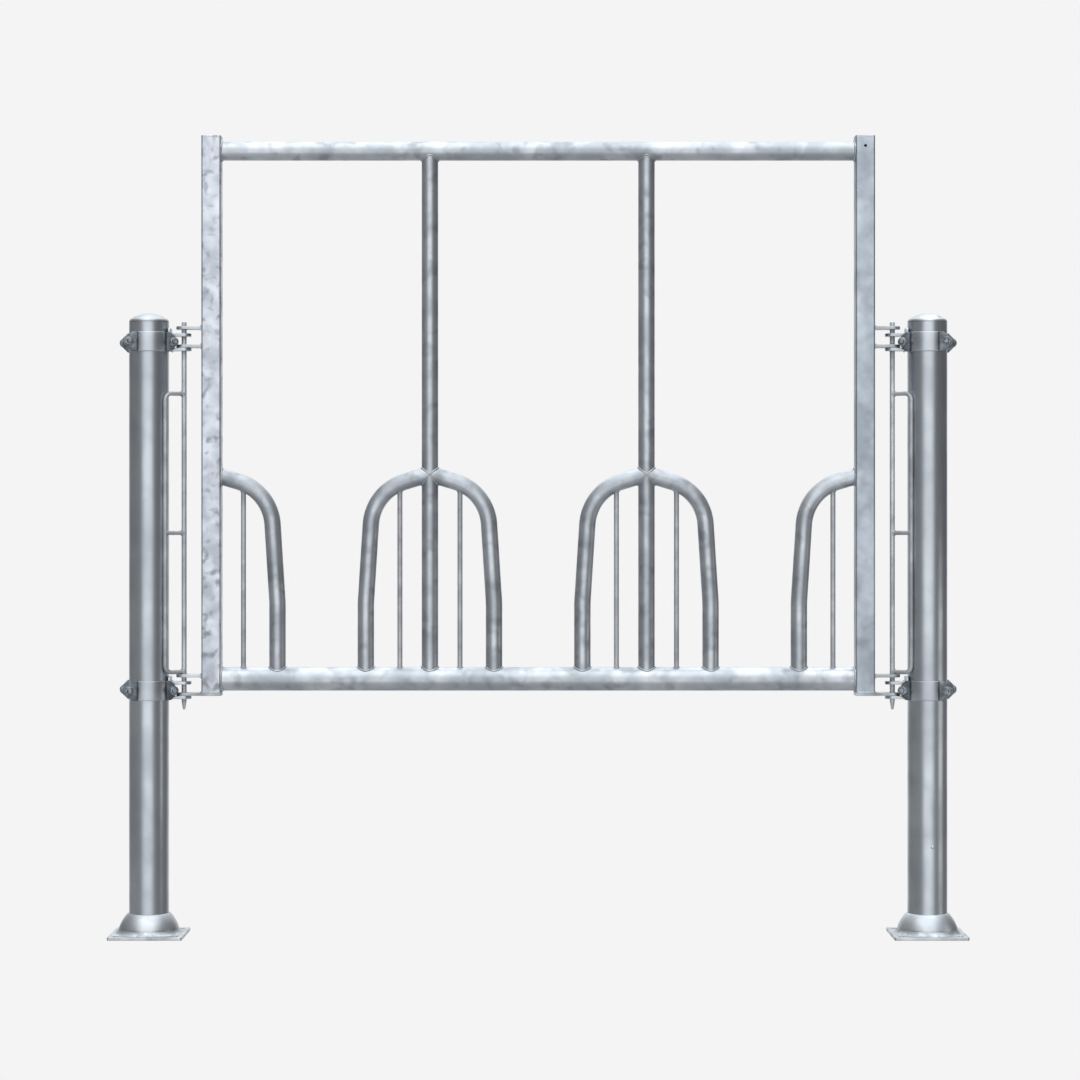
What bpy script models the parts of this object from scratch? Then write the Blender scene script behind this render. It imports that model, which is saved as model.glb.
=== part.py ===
"""Horse feed barrier: a welded tube panel with head bays, hung between two posts.

The panel's lugs rest on forks that are clamped to the posts, and a rod at each side locks them.
Lengths are in metres and angles in degrees. X runs along the barrier, Y away from its front, Z up,
and the origin is on the floor, midway between the posts.
"""

import math

import bmesh
import bpy
from mathutils import Matrix

# Gap that is left between two pieces where they are welded together or rest on each other
SEAT_GAP = 0.0003
# Points closer than this are one point
WELD_DISTANCE = 0.00002

# Posts
POST_SPACING = 2.000
POST_DIAMETER = 0.1016
POST_WALL = 0.0036
POST_RIM_HEIGHT = 1.576
POST_FACETS = 32

# Domed post caps, pressed into the posts
CAP_CROWN_RADIUS = 0.081
CAP_KNUCKLE_RADIUS = 0.009
CAP_WALL = 0.003
CAP_SPIGOT_DEPTH = 0.012
CAP_VENT_DIAMETER = 0.008
CAP_VENT_OFFSET = 0.0395
CAP_VENT_BEARINGS = {"left": 70.0, "right": -49.0}

# Base plates
PLATE_SIDE = 0.190
PLATE_THICKNESS = 0.008
PLATE_CORNER_RADIUS = 0.005
ANCHOR_SPACING = 0.150
ANCHOR_HOLE_DIAMETER = 0.016
DRAIN_HOLE_DIAMETER = 0.040

# Bell-shaped collars round the feet of the posts
COLLAR_FOOT_DIAMETER = 0.154
COLLAR_HEIGHT = 0.051
COLLAR_BULGE_RADIUS = 0.094
COLLAR_WALL = 0.004
COLLAR_LIP = 0.002

# Panel: the height of its foot above the floor and its own height. Its width follows from the posts'
# spacing, and one divider at each side parts it into three equal head bays.
PANEL_FOOT_HEIGHT = 0.617
PANEL_HEIGHT = 1.437

# Square uprights with their closing plates
UPRIGHT_SIDE = 0.050
UPRIGHT_WALL = 0.003
UPRIGHT_CORNER_RADIUS = 0.005
END_PLATE_THICKNESS = 0.004
VENT_DIAMETER = 0.008
VENT_DROP = 0.027

# Rails
TOP_RAIL_DIAMETER = 0.0483
TOP_RAIL_WALL = 0.0029
TOP_RAIL_DROP = 0.0385
BOTTOM_RAIL_DIAMETER = 0.0603
BOTTOM_RAIL_WALL = 0.0029
BOTTOM_RAIL_RISE = 0.0425
RAIL_FACETS = 24

# Dividers between the bays
DIVIDER_DIAMETER = 0.0424
DIVIDER_WALL = 0.0026
DIVIDER_FACETS = 20

# Half arches: reach and height are measured on the tube's axis, from the face it is welded to
# and from the axis of the bottom rail
ARCH_DIAMETER = 0.0424
ARCH_WALL = 0.0026
ARCH_REACH = 0.1435
ARCH_HEAD_HEIGHT = 0.520
ARCH_HEAD_SLOPE = 17.0
ARCH_BEND_RADIUS = 0.122
ARCH_LEG_SPLAY = 3.6
ARCH_KINK_HEIGHT = 0.195
ARCH_KINK_RADIUS = 0.300
ARCH_FACETS = 14

# Thin bars inside the half arches
BAR_DIAMETER = 0.013
BAR_OFFSET = 0.056
BAR_FACETS = 12

# Hinge lugs on the uprights: their reach is from the upright's face to the rod's axis
LUG_REACH = 0.0466
LUG_WIDTH = 0.040
LUG_THICKNESS = 0.008
LUG_PITCH = 0.047
HINGE_SPACING = 0.893
FOOT_LUG_TAPER = 0.008

# Forks on the clamps
FORK_WIDTH = 0.038
FORK_THICKNESS = 0.008
FORK_PITCH = 0.037
FORK_BACK_THICKNESS = 0.006
FORK_BACK_RISE = 0.036
FORK_BACK_CORNER_RADIUS = 0.006
FORK_BACK_CLEARANCE = 0.0005

# Clamp halves. Each clamp is turned on its post, its front towards the panel
CLAMP_TURN = 16.0
CLAMP_HEIGHT = 0.050
CLAMP_WALL = 0.006
EAR_PLANE = 0.036
EAR_TIP_RADIUS = 0.0115
EAR_TAPER = 45.0

# Clamp bolts, nuts and washers
BOLT_DIAMETER = 0.012
BOLT_OFFSET = 0.0575
BOLT_HOLE_CLEARANCE = 0.00075
BOLT_PROTRUSION = 0.005
BOLT_FACETS = 8
HEX_ACROSS_FLATS = 0.019
HEAD_HEIGHT = 0.0075
NUT_HEIGHT = 0.010
NUT_BORE_CLEARANCE = 0.0003
WASHER_DIAMETER = 0.024
WASHER_THICKNESS = 0.0025
WASHER_FACETS = 12

# Locking rods
ROD_OFFSET = 0.090
ROD_DIAMETER = 0.013
ROD_LENGTH = 0.995
ROD_TIP_DROP = 0.036
ROD_TAPER_LENGTH = 0.022
ROD_TIP_DIAMETER = 0.006
ROD_CHAMFER = 0.0015
ROD_HOLE_CLEARANCE = 0.001
ROD_FACETS = 16

# Gap guards: bent wire welded to the rods
GUARD_WIRE_DIAMETER = 0.011
GUARD_HEIGHT = 0.714
GUARD_REACH = 0.055
GUARD_CORNER_RADIUS = 0.018
GUARD_FACETS = 10

# Steps round a hole, a rounded corner and the round end of a flat bar
HOLE_STEPS = 16
CORNER_STEPS = 3
TIP_STEPS = 8
# Turn from one point of a bent tube to the next
BEND_STEP = 14.0

# Finishes of hot-dip galvanised steel: colour, roughness
POST_ZINC = ((0.40, 0.43, 0.46), 0.30)
TUBE_ZINC = ((0.52, 0.55, 0.57), 0.36)
UPRIGHT_ZINC = ((0.58, 0.62, 0.65), 0.42)
PLATE_ZINC = ((0.55, 0.57, 0.57), 0.45)
WIRE_ZINC = ((0.42, 0.43, 0.44), 0.40)
FASTENER_ZINC = ((0.45, 0.47, 0.48), 0.35)

# Places that follow from the sizes
SIDES = {"left": -1, "right": 1}
POST_RADIUS = POST_DIAMETER / 2
POST_BORE_RADIUS = POST_RADIUS - POST_WALL
UPRIGHT_X = POST_SPACING / 2 - ROD_OFFSET - LUG_REACH - UPRIGHT_SIDE / 2
UPRIGHT_INNER_X = UPRIGHT_X - UPRIGHT_SIDE / 2
BAY_WIDTH = (2 * UPRIGHT_INNER_X - len(SIDES) * DIVIDER_DIAMETER) / (len(SIDES) + 1)
DIVIDER_X = UPRIGHT_INNER_X - BAY_WIDTH - DIVIDER_DIAMETER / 2
TOP_RAIL_Z = PANEL_HEIGHT - TOP_RAIL_DROP
ROD_HOLE_RADIUS = ROD_DIAMETER / 2 + ROD_HOLE_CLEARANCE
CLAMP_Z = FORK_PITCH / 2 - FORK_THICKNESS / 2 - SEAT_GAP
SADDLE_RADIUS = POST_RADIUS + SEAT_GAP
EAR_OUTER_PLANE = EAR_PLANE + CLAMP_WALL
FORK_BACK_X = POST_RADIUS + FORK_BACK_CLEARANCE + FORK_BACK_THICKNESS / 2
HEX_RADIUS = HEX_ACROSS_FLATS / 2 / math.cos(math.radians(30))
HINGES = {"lower": 0.0, "upper": HINGE_SPACING}


def collection(name):
    """Adds a collection to the scene."""
    group = bpy.data.collections.new(name)
    bpy.context.scene.collection.children.link(group)
    return group


def add_empty(name, parent=None, location=(0, 0, 0), turn=0.0):
    """Adds an empty, the frame that a group of pieces is placed in."""
    empty = bpy.data.objects.new(name, None)
    parts.objects.link(empty)
    empty.parent = parent
    empty.location = location
    empty.rotation_euler.z = math.radians(turn)
    return empty


def add_piece(name, mesh, finish, parent, location=(0, 0, 0), turn=0.0):
    """Adds a sub-part with its own zinc finish, turned about Z and placed under its parent."""
    colour, roughness = finish
    material = bpy.data.materials.new(name)
    material.use_nodes = True
    shader = material.node_tree.nodes["Principled BSDF"]
    shader.inputs["Base Color"].default_value = (*colour, 1)
    shader.inputs["Roughness"].default_value = roughness
    shader.inputs["Metallic"].default_value = 1.0
    piece = bpy.data.objects.new(name, mesh)
    mesh.materials.clear()
    mesh.materials.append(material)
    parts.objects.link(piece)
    piece.parent = parent
    piece.location = location
    piece.rotation_euler.z = math.radians(turn)
    return piece


def add_cutter(name, mesh, parent, location=(0, 0, 0), turn=0.0):
    """Adds a body that others are cut by or joined with."""
    cutter = bpy.data.objects.new(name, mesh)
    cutters.objects.link(cutter)
    cutter.hide_render = True
    cutter.display_type = "WIRE"
    cutter.parent = parent
    cutter.location = location
    cutter.rotation_euler.z = math.radians(turn)
    return cutter


def combine(piece, cutter, operation="DIFFERENCE"):
    """Cuts a piece by a cutter, or joins or limits it."""
    step = piece.modifiers.new(cutter.name, "BOOLEAN")
    step.operation = operation
    step.object = cutter


def smooth(mesh):
    """Shades the round faces of a mesh smooth and keeps its edges sharp."""
    mesh.shade_smooth()
    mesh.set_sharp_from_angle(angle=math.radians(35))


def mesh_from_curve(curve):
    """Turns a curve into a mesh whose caps are welded on and whose faces point out."""
    holder = bpy.data.objects.new(curve.name, curve)
    parts.objects.link(holder)
    graph = bpy.context.evaluated_depsgraph_get()
    mesh = bpy.data.meshes.new_from_object(holder.evaluated_get(graph))
    bpy.data.objects.remove(holder)
    body = bmesh.new()
    body.from_mesh(mesh)
    bmesh.ops.remove_doubles(body, verts=body.verts, dist=WELD_DISTANCE)
    bmesh.ops.recalc_face_normals(body, faces=body.faces)
    body.to_mesh(mesh)
    body.free()
    smooth(mesh)
    return mesh


def round_bar_mesh(path, diameter, facets, capped=True):
    """Sweeps a round section along a path of points."""
    curve = bpy.data.curves.new("round_bar", "CURVE")
    curve.dimensions = "3D"
    curve.bevel_depth = diameter / 2
    curve.bevel_resolution = facets // 2 - 2
    curve.use_fill_caps = capped
    spline = curve.splines.new("POLY")
    spline.points.add(len(path) - 1)
    for point, place in zip(spline.points, path):
        point.co = (*place, 1)
    return mesh_from_curve(curve)


def add_tube(name, path, diameter, wall, facets, finish, parent, location=(0, 0, 0), turn=0.0):
    """Adds a hollow tube, open at both ends, along a path."""
    mesh = round_bar_mesh(path, diameter, facets, capped=False)
    tube = add_piece(name, mesh, finish, parent, location, turn)
    shell = tube.modifiers.new("wall", "SOLIDIFY")
    shell.thickness = wall
    shell.offset = -1
    return tube


def flat_mesh(loops, thickness, matrix=None):
    """Fills an outline, with holes where further loops lie inside it, and gives it a thickness."""
    curve = bpy.data.curves.new("outline", "CURVE")
    curve.dimensions = "2D"
    curve.fill_mode = "BOTH"
    curve.extrude = thickness / 2
    for loop in loops:
        spline = curve.splines.new("POLY")
        spline.points.add(len(loop) - 1)
        spline.use_cyclic_u = True
        for point, (x, y) in zip(spline.points, loop):
            point.co = (x, y, 0, 1)
    mesh = mesh_from_curve(curve)
    if matrix:
        mesh.transform(matrix)
    return mesh


def add_turned(name, profile, closed, facets, finish, parent, location=(0, 0, 0), turn=0.0):
    """Adds a body turned about Z from a profile of (radius, height) points."""
    mesh = bpy.data.meshes.new(name)
    edges = [(n, n + 1) for n in range(len(profile) - 1)]
    if closed:
        edges.append((len(profile) - 1, 0))
    mesh.from_pydata([(radius, 0, height) for radius, height in profile], edges, [])
    piece = add_piece(name, mesh, finish, parent, location, turn)
    turning = piece.modifiers.new("turning", "SCREW")
    turning.steps = facets
    turning.render_steps = facets
    turning.use_merge_vertices = True
    turning.merge_threshold = WELD_DISTANCE
    turning.use_smooth_shade = True
    return piece


def arc(centre, radius, start, end, steps):
    """Points on a circle from one bearing to another, both included."""
    angles = [math.radians(start + (end - start) * n / steps) for n in range(steps + 1)]
    return [(centre[0] + radius * math.cos(a), centre[1] + radius * math.sin(a)) for a in angles]


def circle(centre, radius, steps):
    """Points once round a circle."""
    return arc(centre, radius, 0, 360, steps)[:-1]


def arc_between(first, last, radius, steps):
    """Points from first to last along an arc that bulges to the left of the way between them."""
    dx, dy = last[0] - first[0], last[1] - first[1]
    chord = math.hypot(dx, dy)
    depth = math.sqrt(radius**2 - (chord / 2) ** 2)
    centre = ((first[0] + last[0]) / 2 + dy / chord * depth, (first[1] + last[1]) / 2 - dx / chord * depth)
    start = math.degrees(math.atan2(first[1] - centre[1], first[0] - centre[0]))
    end = math.degrees(math.atan2(last[1] - centre[1], last[0] - centre[0]))
    return arc(centre, radius, start, end, steps)


def rectangle(left, right, low, high, radius):
    """Outline of a rectangle with rounded corners."""
    corners = [
        ((right - radius, low + radius), -90),
        ((right - radius, high - radius), 0),
        ((left + radius, high - radius), 90),
        ((left + radius, low + radius), 180),
    ]
    outline = []
    for centre, start in corners:
        outline += arc(centre, radius, start, start + 90, CORNER_STEPS)
    return outline


def tongue(start, tip_centre, width):
    """Outline of a flat bar that ends round, from x = start to the round end about x = tip_centre."""
    tip = arc((tip_centre, 0), width / 2, -90, 90, TIP_STEPS)
    return [(start, -width / 2)] + tip + [(start, width / 2)]


def rounded_path(corners, radii):
    """Points (x, z) along straight runs through the corners, with each inner corner bent to its radius."""
    path = [corners[0]]
    for before, corner, after, radius in zip(corners, corners[1:], corners[2:], radii):
        come = math.atan2(corner[1] - before[1], corner[0] - before[0])
        leave = math.atan2(after[1] - corner[1], after[0] - corner[0])
        turn = math.remainder(leave - come, math.tau)
        setback = radius * math.tan(abs(turn) / 2)
        hand = math.copysign(1, turn)
        start = (corner[0] - setback * math.cos(come), corner[1] - setback * math.sin(come))
        centre = (start[0] - hand * radius * math.sin(come), start[1] + hand * radius * math.cos(come))
        bearing = math.degrees(come) - hand * 90
        steps = max(1, math.ceil(math.degrees(abs(turn)) / BEND_STEP))
        path += arc(centre, radius, bearing, bearing + math.degrees(turn), steps)
    return path + [corners[-1]]


def height_on_path(path, x):
    """Height of an (x, z) path at a place between its ends."""
    for (x0, z0), (x1, z1) in zip(path, path[1:]):
        if min(x0, x1) <= x <= max(x0, x1) and x0 != x1:
            return z0 + (z1 - z0) * (x - x0) / (x1 - x0)
    raise ValueError("the path does not reach this place")


def straight(start, end):
    """Path of an upright bar, from one height to another."""
    return [(0, 0, start), (0, 0, end)]


def box_mesh(size, centre=(0, 0, 0)):
    """Mesh of a box."""
    mesh = bpy.data.meshes.new("box")
    body = bmesh.new()
    bmesh.ops.create_cube(body, size=1.0, matrix=Matrix.Translation(centre) @ Matrix.Diagonal((*size, 1)))
    body.to_mesh(mesh)
    body.free()
    return mesh


def prism(radius, height, steps, matrix):
    """Mesh of an upright cylinder or prism about the origin, moved by a matrix."""
    mesh = bpy.data.meshes.new("prism")
    body = bmesh.new()
    bmesh.ops.create_cone(
        body, cap_ends=True, segments=steps, radius1=radius, radius2=radius, depth=height, matrix=matrix
    )
    body.to_mesh(mesh)
    body.free()
    return mesh


def combined_mesh(mesh, steps):
    """Mesh of a small piece after other meshes have been joined to it or cut from it."""
    holder = bpy.data.objects.new("combined", mesh)
    parts.objects.link(holder)
    for other, operation in steps:
        combine(holder, add_cutter("combined_step", other, None), operation)
    graph = bpy.context.evaluated_depsgraph_get()
    result = bpy.data.meshes.new_from_object(holder.evaluated_get(graph))
    for step in list(holder.modifiers):
        bpy.data.objects.remove(step.object)
    bpy.data.objects.remove(holder)
    smooth(result)
    return result


def build_post(side):
    """Post with its cap, base plate and collar, standing on the floor."""
    foot = add_empty(side + "_post_foot", location=(SIDES[side] * POST_SPACING / 2, 0, 0))
    post_foot = PLATE_THICKNESS + SEAT_GAP
    wall = [
        (POST_RADIUS, POST_RIM_HEIGHT),
        (POST_RADIUS, post_foot),
        (POST_BORE_RADIUS, post_foot),
        (POST_BORE_RADIUS, POST_RIM_HEIGHT),
    ]
    add_turned(side + "_post", wall, True, POST_FACETS, POST_ZINC, foot)

    half = PLATE_SIDE / 2
    loops = [rectangle(-half, half, -half, half, PLATE_CORNER_RADIUS)]
    loops.append(circle((0, 0), DRAIN_HOLE_DIAMETER / 2, HOLE_STEPS))
    for x in (-ANCHOR_SPACING / 2, ANCHOR_SPACING / 2):
        for y in (-ANCHOR_SPACING / 2, ANCHOR_SPACING / 2):
            loops.append(circle((x, y), ANCHOR_HOLE_DIAMETER / 2, HOLE_STEPS))
    plate = flat_mesh(loops, PLATE_THICKNESS)
    add_piece(side + "_base_plate", plate, PLATE_ZINC, foot, (0, 0, PLATE_THICKNESS / 2))

    neck = POST_RADIUS + SEAT_GAP
    foot_radius = COLLAR_FOOT_DIAMETER / 2
    inner_foot = foot_radius - COLLAR_WALL
    inner_bulge = COLLAR_BULGE_RADIUS - COLLAR_WALL
    outside = arc_between((neck + COLLAR_LIP, COLLAR_HEIGHT), (foot_radius, 0), COLLAR_BULGE_RADIUS, 4)
    inside = arc_between((neck, COLLAR_HEIGHT - COLLAR_WALL), (inner_foot, 0), inner_bulge, 2)
    bell = [(neck, COLLAR_HEIGHT)] + outside + inside[::-1]
    seat = (0, 0, PLATE_THICKNESS + SEAT_GAP)
    add_turned(side + "_base_collar", bell, True, POST_FACETS, POST_ZINC, foot, seat)

    build_cap(side, foot)


def build_cap(side, foot):
    """Domed cap with a round knuckle and a spigot that fits the post's bore."""
    crown_reach = CAP_CROWN_RADIUS - CAP_KNUCKLE_RADIUS
    knuckle_centre = POST_RADIUS - CAP_KNUCKLE_RADIUS
    crown_drop = math.sqrt(crown_reach**2 - knuckle_centre**2)
    meeting = math.degrees(math.asin(knuckle_centre / crown_reach))
    crown = arc((0, -crown_drop), CAP_CROWN_RADIUS, 90, 90 - meeting, 3)
    knuckle = arc((knuckle_centre, 0), CAP_KNUCKLE_RADIUS, 90 - meeting, 0, 2)
    spigot_outer = POST_BORE_RADIUS - SEAT_GAP
    spigot_inner = spigot_outer - CAP_WALL
    inner_crown = CAP_CROWN_RADIUS - CAP_WALL
    inner_meeting = math.degrees(math.asin(spigot_inner / inner_crown))
    inside = arc((0, -crown_drop), inner_crown, 90 - inner_meeting, 90, 2)
    spigot = [(spigot_outer, 0), (spigot_outer, -CAP_SPIGOT_DEPTH), (spigot_inner, -CAP_SPIGOT_DEPTH)]
    profile = crown + knuckle[1:] + spigot + inside
    seat = (0, 0, POST_RIM_HEIGHT + SEAT_GAP)
    cap = add_turned(side + "_post_cap", profile, False, POST_FACETS, PLATE_ZINC, foot, seat)
    bearing = math.radians(CAP_VENT_BEARINGS[side])
    hole = (CAP_VENT_OFFSET * math.cos(bearing), CAP_VENT_OFFSET * math.sin(bearing), 0)
    drill = prism(CAP_VENT_DIAMETER / 2, CAP_CROWN_RADIUS, HOLE_STEPS // 2, Matrix.Translation(hole))
    combine(cap, add_cutter(side + "_cap_drill", drill, foot, seat))


def build_frame(panel):
    """Uprights with their closed tops, and the two rails. Returns the cutters that fit their outsides."""
    upright_foot = LUG_THICKNESS + SEAT_GAP
    length = PANEL_HEIGHT - upright_foot
    middle = (PANEL_HEIGHT + upright_foot) / 2
    half = UPRIGHT_SIDE / 2
    bore = half - UPRIGHT_WALL
    outside = rectangle(-half, half, -half, half, UPRIGHT_CORNER_RADIUS)
    inside = rectangle(-bore, bore, -bore, bore, UPRIGHT_CORNER_RADIUS - UPRIGHT_WALL)
    fit_width = UPRIGHT_SIDE + 2 * SEAT_GAP
    fits = {}
    uprights = {}
    for side, sign in SIDES.items():
        name = side + "_upright"
        place = (sign * UPRIGHT_X, 0, middle)
        uprights[side] = add_piece(name, flat_mesh([outside], length), UPRIGHT_ZINC, panel, place)
        core_place = (sign * UPRIGHT_X, 0, middle - END_PLATE_THICKNESS)
        core = add_cutter(name + "_core", flat_mesh([inside], length), panel, core_place)
        combine(uprights[side], core)
        fits[name] = add_cutter(name + "_fit", box_mesh((fit_width, fit_width, length)), panel, place)

    front_view = Matrix.Rotation(math.radians(90), 4, "X")
    drill = prism(VENT_DIAMETER / 2, UPRIGHT_SIDE, HOLE_STEPS // 2, front_view)
    vent = (UPRIGHT_X, -half, PANEL_HEIGHT - VENT_DROP)
    combine(uprights["right"], add_cutter("upright_vent_drill", drill, panel, vent))

    reach = UPRIGHT_INNER_X - SEAT_GAP
    path = [(-reach, 0, 0), (reach, 0, 0)]
    rails = {
        "top_rail": (TOP_RAIL_DIAMETER, TOP_RAIL_WALL, TOP_RAIL_Z),
        "bottom_rail": (BOTTOM_RAIL_DIAMETER, BOTTOM_RAIL_WALL, BOTTOM_RAIL_RISE),
    }
    for name, (diameter, wall, height) in rails.items():
        place = (0, 0, height)
        add_tube(name, path, diameter, wall, RAIL_FACETS, TUBE_ZINC, panel, place)
        fit = round_bar_mesh(path, diameter + 2 * SEAT_GAP, RAIL_FACETS)
        fits[name] = add_cutter(name + "_fit", fit, panel, place)
    return fits


def build_dividers(panel, fits):
    """Round dividers, notched on to both rails. Adds the cutters that fit them."""
    for side, sign in SIDES.items():
        name = side + "_divider"
        path = straight(BOTTOM_RAIL_RISE, TOP_RAIL_Z)
        place = (sign * DIVIDER_X, 0, 0)
        size = (DIVIDER_DIAMETER, DIVIDER_WALL, DIVIDER_FACETS)
        divider = add_tube(name, path, *size, TUBE_ZINC, panel, place)
        combine(divider, fits["top_rail"])
        combine(divider, fits["bottom_rail"])
        fit = round_bar_mesh(path, DIVIDER_DIAMETER + 2 * SEAT_GAP, DIVIDER_FACETS)
        fits[name] = add_cutter(name + "_fit", fit, panel, place)


def arch_path(overrun):
    """Axis of a half arch as (x, z) points. It starts behind the face it is welded to, at x = -overrun."""
    slope = math.tan(math.radians(ARCH_HEAD_SLOPE))
    splay = math.tan(math.radians(ARCH_LEG_SPLAY))
    leg_rise = (ARCH_HEAD_HEIGHT - slope * ARCH_REACH - ARCH_KINK_HEIGHT) / (1 - slope * splay)
    shoulder = (ARCH_REACH - leg_rise * splay, ARCH_KINK_HEIGHT + leg_rise)
    corners = [
        (-overrun, ARCH_HEAD_HEIGHT + slope * overrun),
        shoulder,
        (ARCH_REACH, ARCH_KINK_HEIGHT),
        (ARCH_REACH, 0),
    ]
    return rounded_path(corners, [ARCH_BEND_RADIUS, ARCH_KINK_RADIUS])


def build_arches(panel, fits):
    """Half arches on the uprights and dividers, each with its thin bar."""
    divider_face = DIVIDER_DIAMETER / 2
    arches = {}
    for side, sign in SIDES.items():
        arches[side + "_upright"] = (side + "_upright", sign * UPRIGHT_INNER_X, -sign, UPRIGHT_WALL)
        for hand, facing in SIDES.items():
            face = sign * DIVIDER_X + facing * divider_face
            arches[side + "_divider_" + hand] = (side + "_divider", face, facing, divider_face)
    for name, (carrier, face, facing, overrun) in arches.items():
        turn = 0.0 if facing > 0 else 180.0
        place = (face, 0, BOTTOM_RAIL_RISE)
        flat_path = arch_path(overrun)
        path = [(x, 0, z) for x, z in flat_path]
        size = (ARCH_DIAMETER, ARCH_WALL, ARCH_FACETS)
        arch = add_tube(name + "_arch", path, *size, TUBE_ZINC, panel, place, turn)
        combine(arch, fits[carrier])
        combine(arch, fits["bottom_rail"])
        fit_mesh = round_bar_mesh(path, ARCH_DIAMETER + 2 * SEAT_GAP, ARCH_FACETS)
        fit = add_cutter(name + "_arch_fit", fit_mesh, panel, place, turn)

        bar_place = (face + facing * BAR_OFFSET, 0, BOTTOM_RAIL_RISE)
        bar_top = height_on_path(flat_path, BAR_OFFSET)
        bar_mesh = round_bar_mesh(straight(0, bar_top), BAR_DIAMETER, BAR_FACETS)
        bar = add_piece(name + "_bar", bar_mesh, WIRE_ZINC, panel, bar_place)
        combine(bar, fit)
        combine(bar, fits["bottom_rail"])


def build_lugs(panel):
    """Hinge lugs, two at each hinge. The lowest on each side runs on under its upright and closes it."""
    hole = circle((LUG_REACH, 0), ROD_HOLE_RADIUS, HOLE_STEPS)
    lug = [tongue(SEAT_GAP, LUG_REACH, LUG_WIDTH), hole]
    half = UPRIGHT_SIDE / 2
    foot = [(-UPRIGHT_SIDE, -half), (0, -half)]
    foot += tongue(FOOT_LUG_TAPER, LUG_REACH, LUG_WIDTH)
    foot += [(0, half), (-UPRIGHT_SIDE, half)]
    for side, sign in SIDES.items():
        turn = 0.0 if sign > 0 else 180.0
        face = sign * (UPRIGHT_X + UPRIGHT_SIDE / 2)
        for hinge, level in HINGES.items():
            for end, rise in {"bottom": 0.0, "top": LUG_PITCH}.items():
                at_foot = hinge == "lower" and end == "bottom"
                loops = [foot, hole] if at_foot else lug
                name = f"{side}_foot_lug" if at_foot else f"{side}_{hinge}_{end}_lug"
                place = (face, 0, level + rise + LUG_THICKNESS / 2)
                add_piece(name, flat_mesh(loops, LUG_THICKNESS), PLATE_ZINC, panel, place, turn)


def saddle_outline(turn):
    """Plan of a clamp half that is turned on its post: a band that bends out into two ears. The band's
    facets lie along the post's."""
    step = 360 / POST_FACETS
    tip = BOLT_OFFSET + EAR_TIP_RADIUS

    def band(radius, plane):
        start = math.degrees(math.asin(plane / radius))
        bearings = [n * step - turn for n in range(-POST_FACETS, POST_FACETS)]
        inner = [bearing for bearing in bearings if start < bearing < 180 - start]
        return [
            (radius * math.cos(math.radians(angle)), radius * math.sin(math.radians(angle)))
            for angle in [start, *inner, 180 - start]
        ]

    inside = band(SADDLE_RADIUS, EAR_PLANE)
    outside = band(SADDLE_RADIUS + CLAMP_WALL, EAR_OUTER_PLANE)
    ear = [(-tip, EAR_PLANE), (-tip, EAR_OUTER_PLANE)]
    other_ear = [(tip, EAR_OUTER_PLANE), (tip, EAR_PLANE)]
    return inside + ear + outside[::-1] + other_ear


def saddle_front_outline():
    """Front view of a clamp half: full height at the band, with ears that taper to round tips."""
    half = CLAMP_HEIGHT / 2
    taper = math.radians(EAR_TAPER)
    shoulder = BOLT_OFFSET + EAR_TIP_RADIUS / math.sin(taper) - half / math.tan(taper)
    bearing = 90 - EAR_TAPER
    right = arc((BOLT_OFFSET, 0), EAR_TIP_RADIUS, -bearing, bearing, CORNER_STEPS)
    left = arc((-BOLT_OFFSET, 0), EAR_TIP_RADIUS, 180 - bearing, 180 + bearing, CORNER_STEPS)
    return [(shoulder, -half)] + right + [(shoulder, half), (-shoulder, half)] + left + [(-shoulder, -half)]


def fork_back_outline():
    """Fork's back plate in the (y, z) plane: it runs into the front ear and rises above the upper prong."""
    low = -(FORK_PITCH + FORK_THICKNESS) / 2
    turn = math.radians(CLAMP_TURN)
    in_ear = (EAR_PLANE + CLAMP_WALL / 2 - FORK_BACK_X * math.sin(turn)) / math.cos(turn)
    return rectangle(-in_ear, FORK_WIDTH / 2, low, FORK_BACK_RISE, FORK_BACK_CORNER_RADIUS)


def fork_mesh(facing):
    """Fork about the post's axis, in the panel's direction: its back plate and the two prongs."""
    side_view = Matrix(((0, 0, 1, facing * FORK_BACK_X), (1, 0, 0, 0), (0, 1, 0, 0), (0, 0, 0, 1)))
    back = flat_mesh([fork_back_outline()], FORK_BACK_THICKNESS, side_view)
    hole = circle((ROD_OFFSET, 0), ROD_HOLE_RADIUS, HOLE_STEPS)
    turn = Matrix.Rotation(0.0 if facing > 0 else math.pi, 4, "Z")
    prongs = []
    for rise in (-FORK_PITCH / 2, FORK_PITCH / 2):
        lay = Matrix.Translation((0, 0, rise)) @ turn
        prong = flat_mesh([tongue(FORK_BACK_X, ROD_OFFSET, FORK_WIDTH), hole], FORK_THICKNESS, lay)
        prongs.append((prong, "UNION"))
    return combined_mesh(back, prongs)


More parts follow.
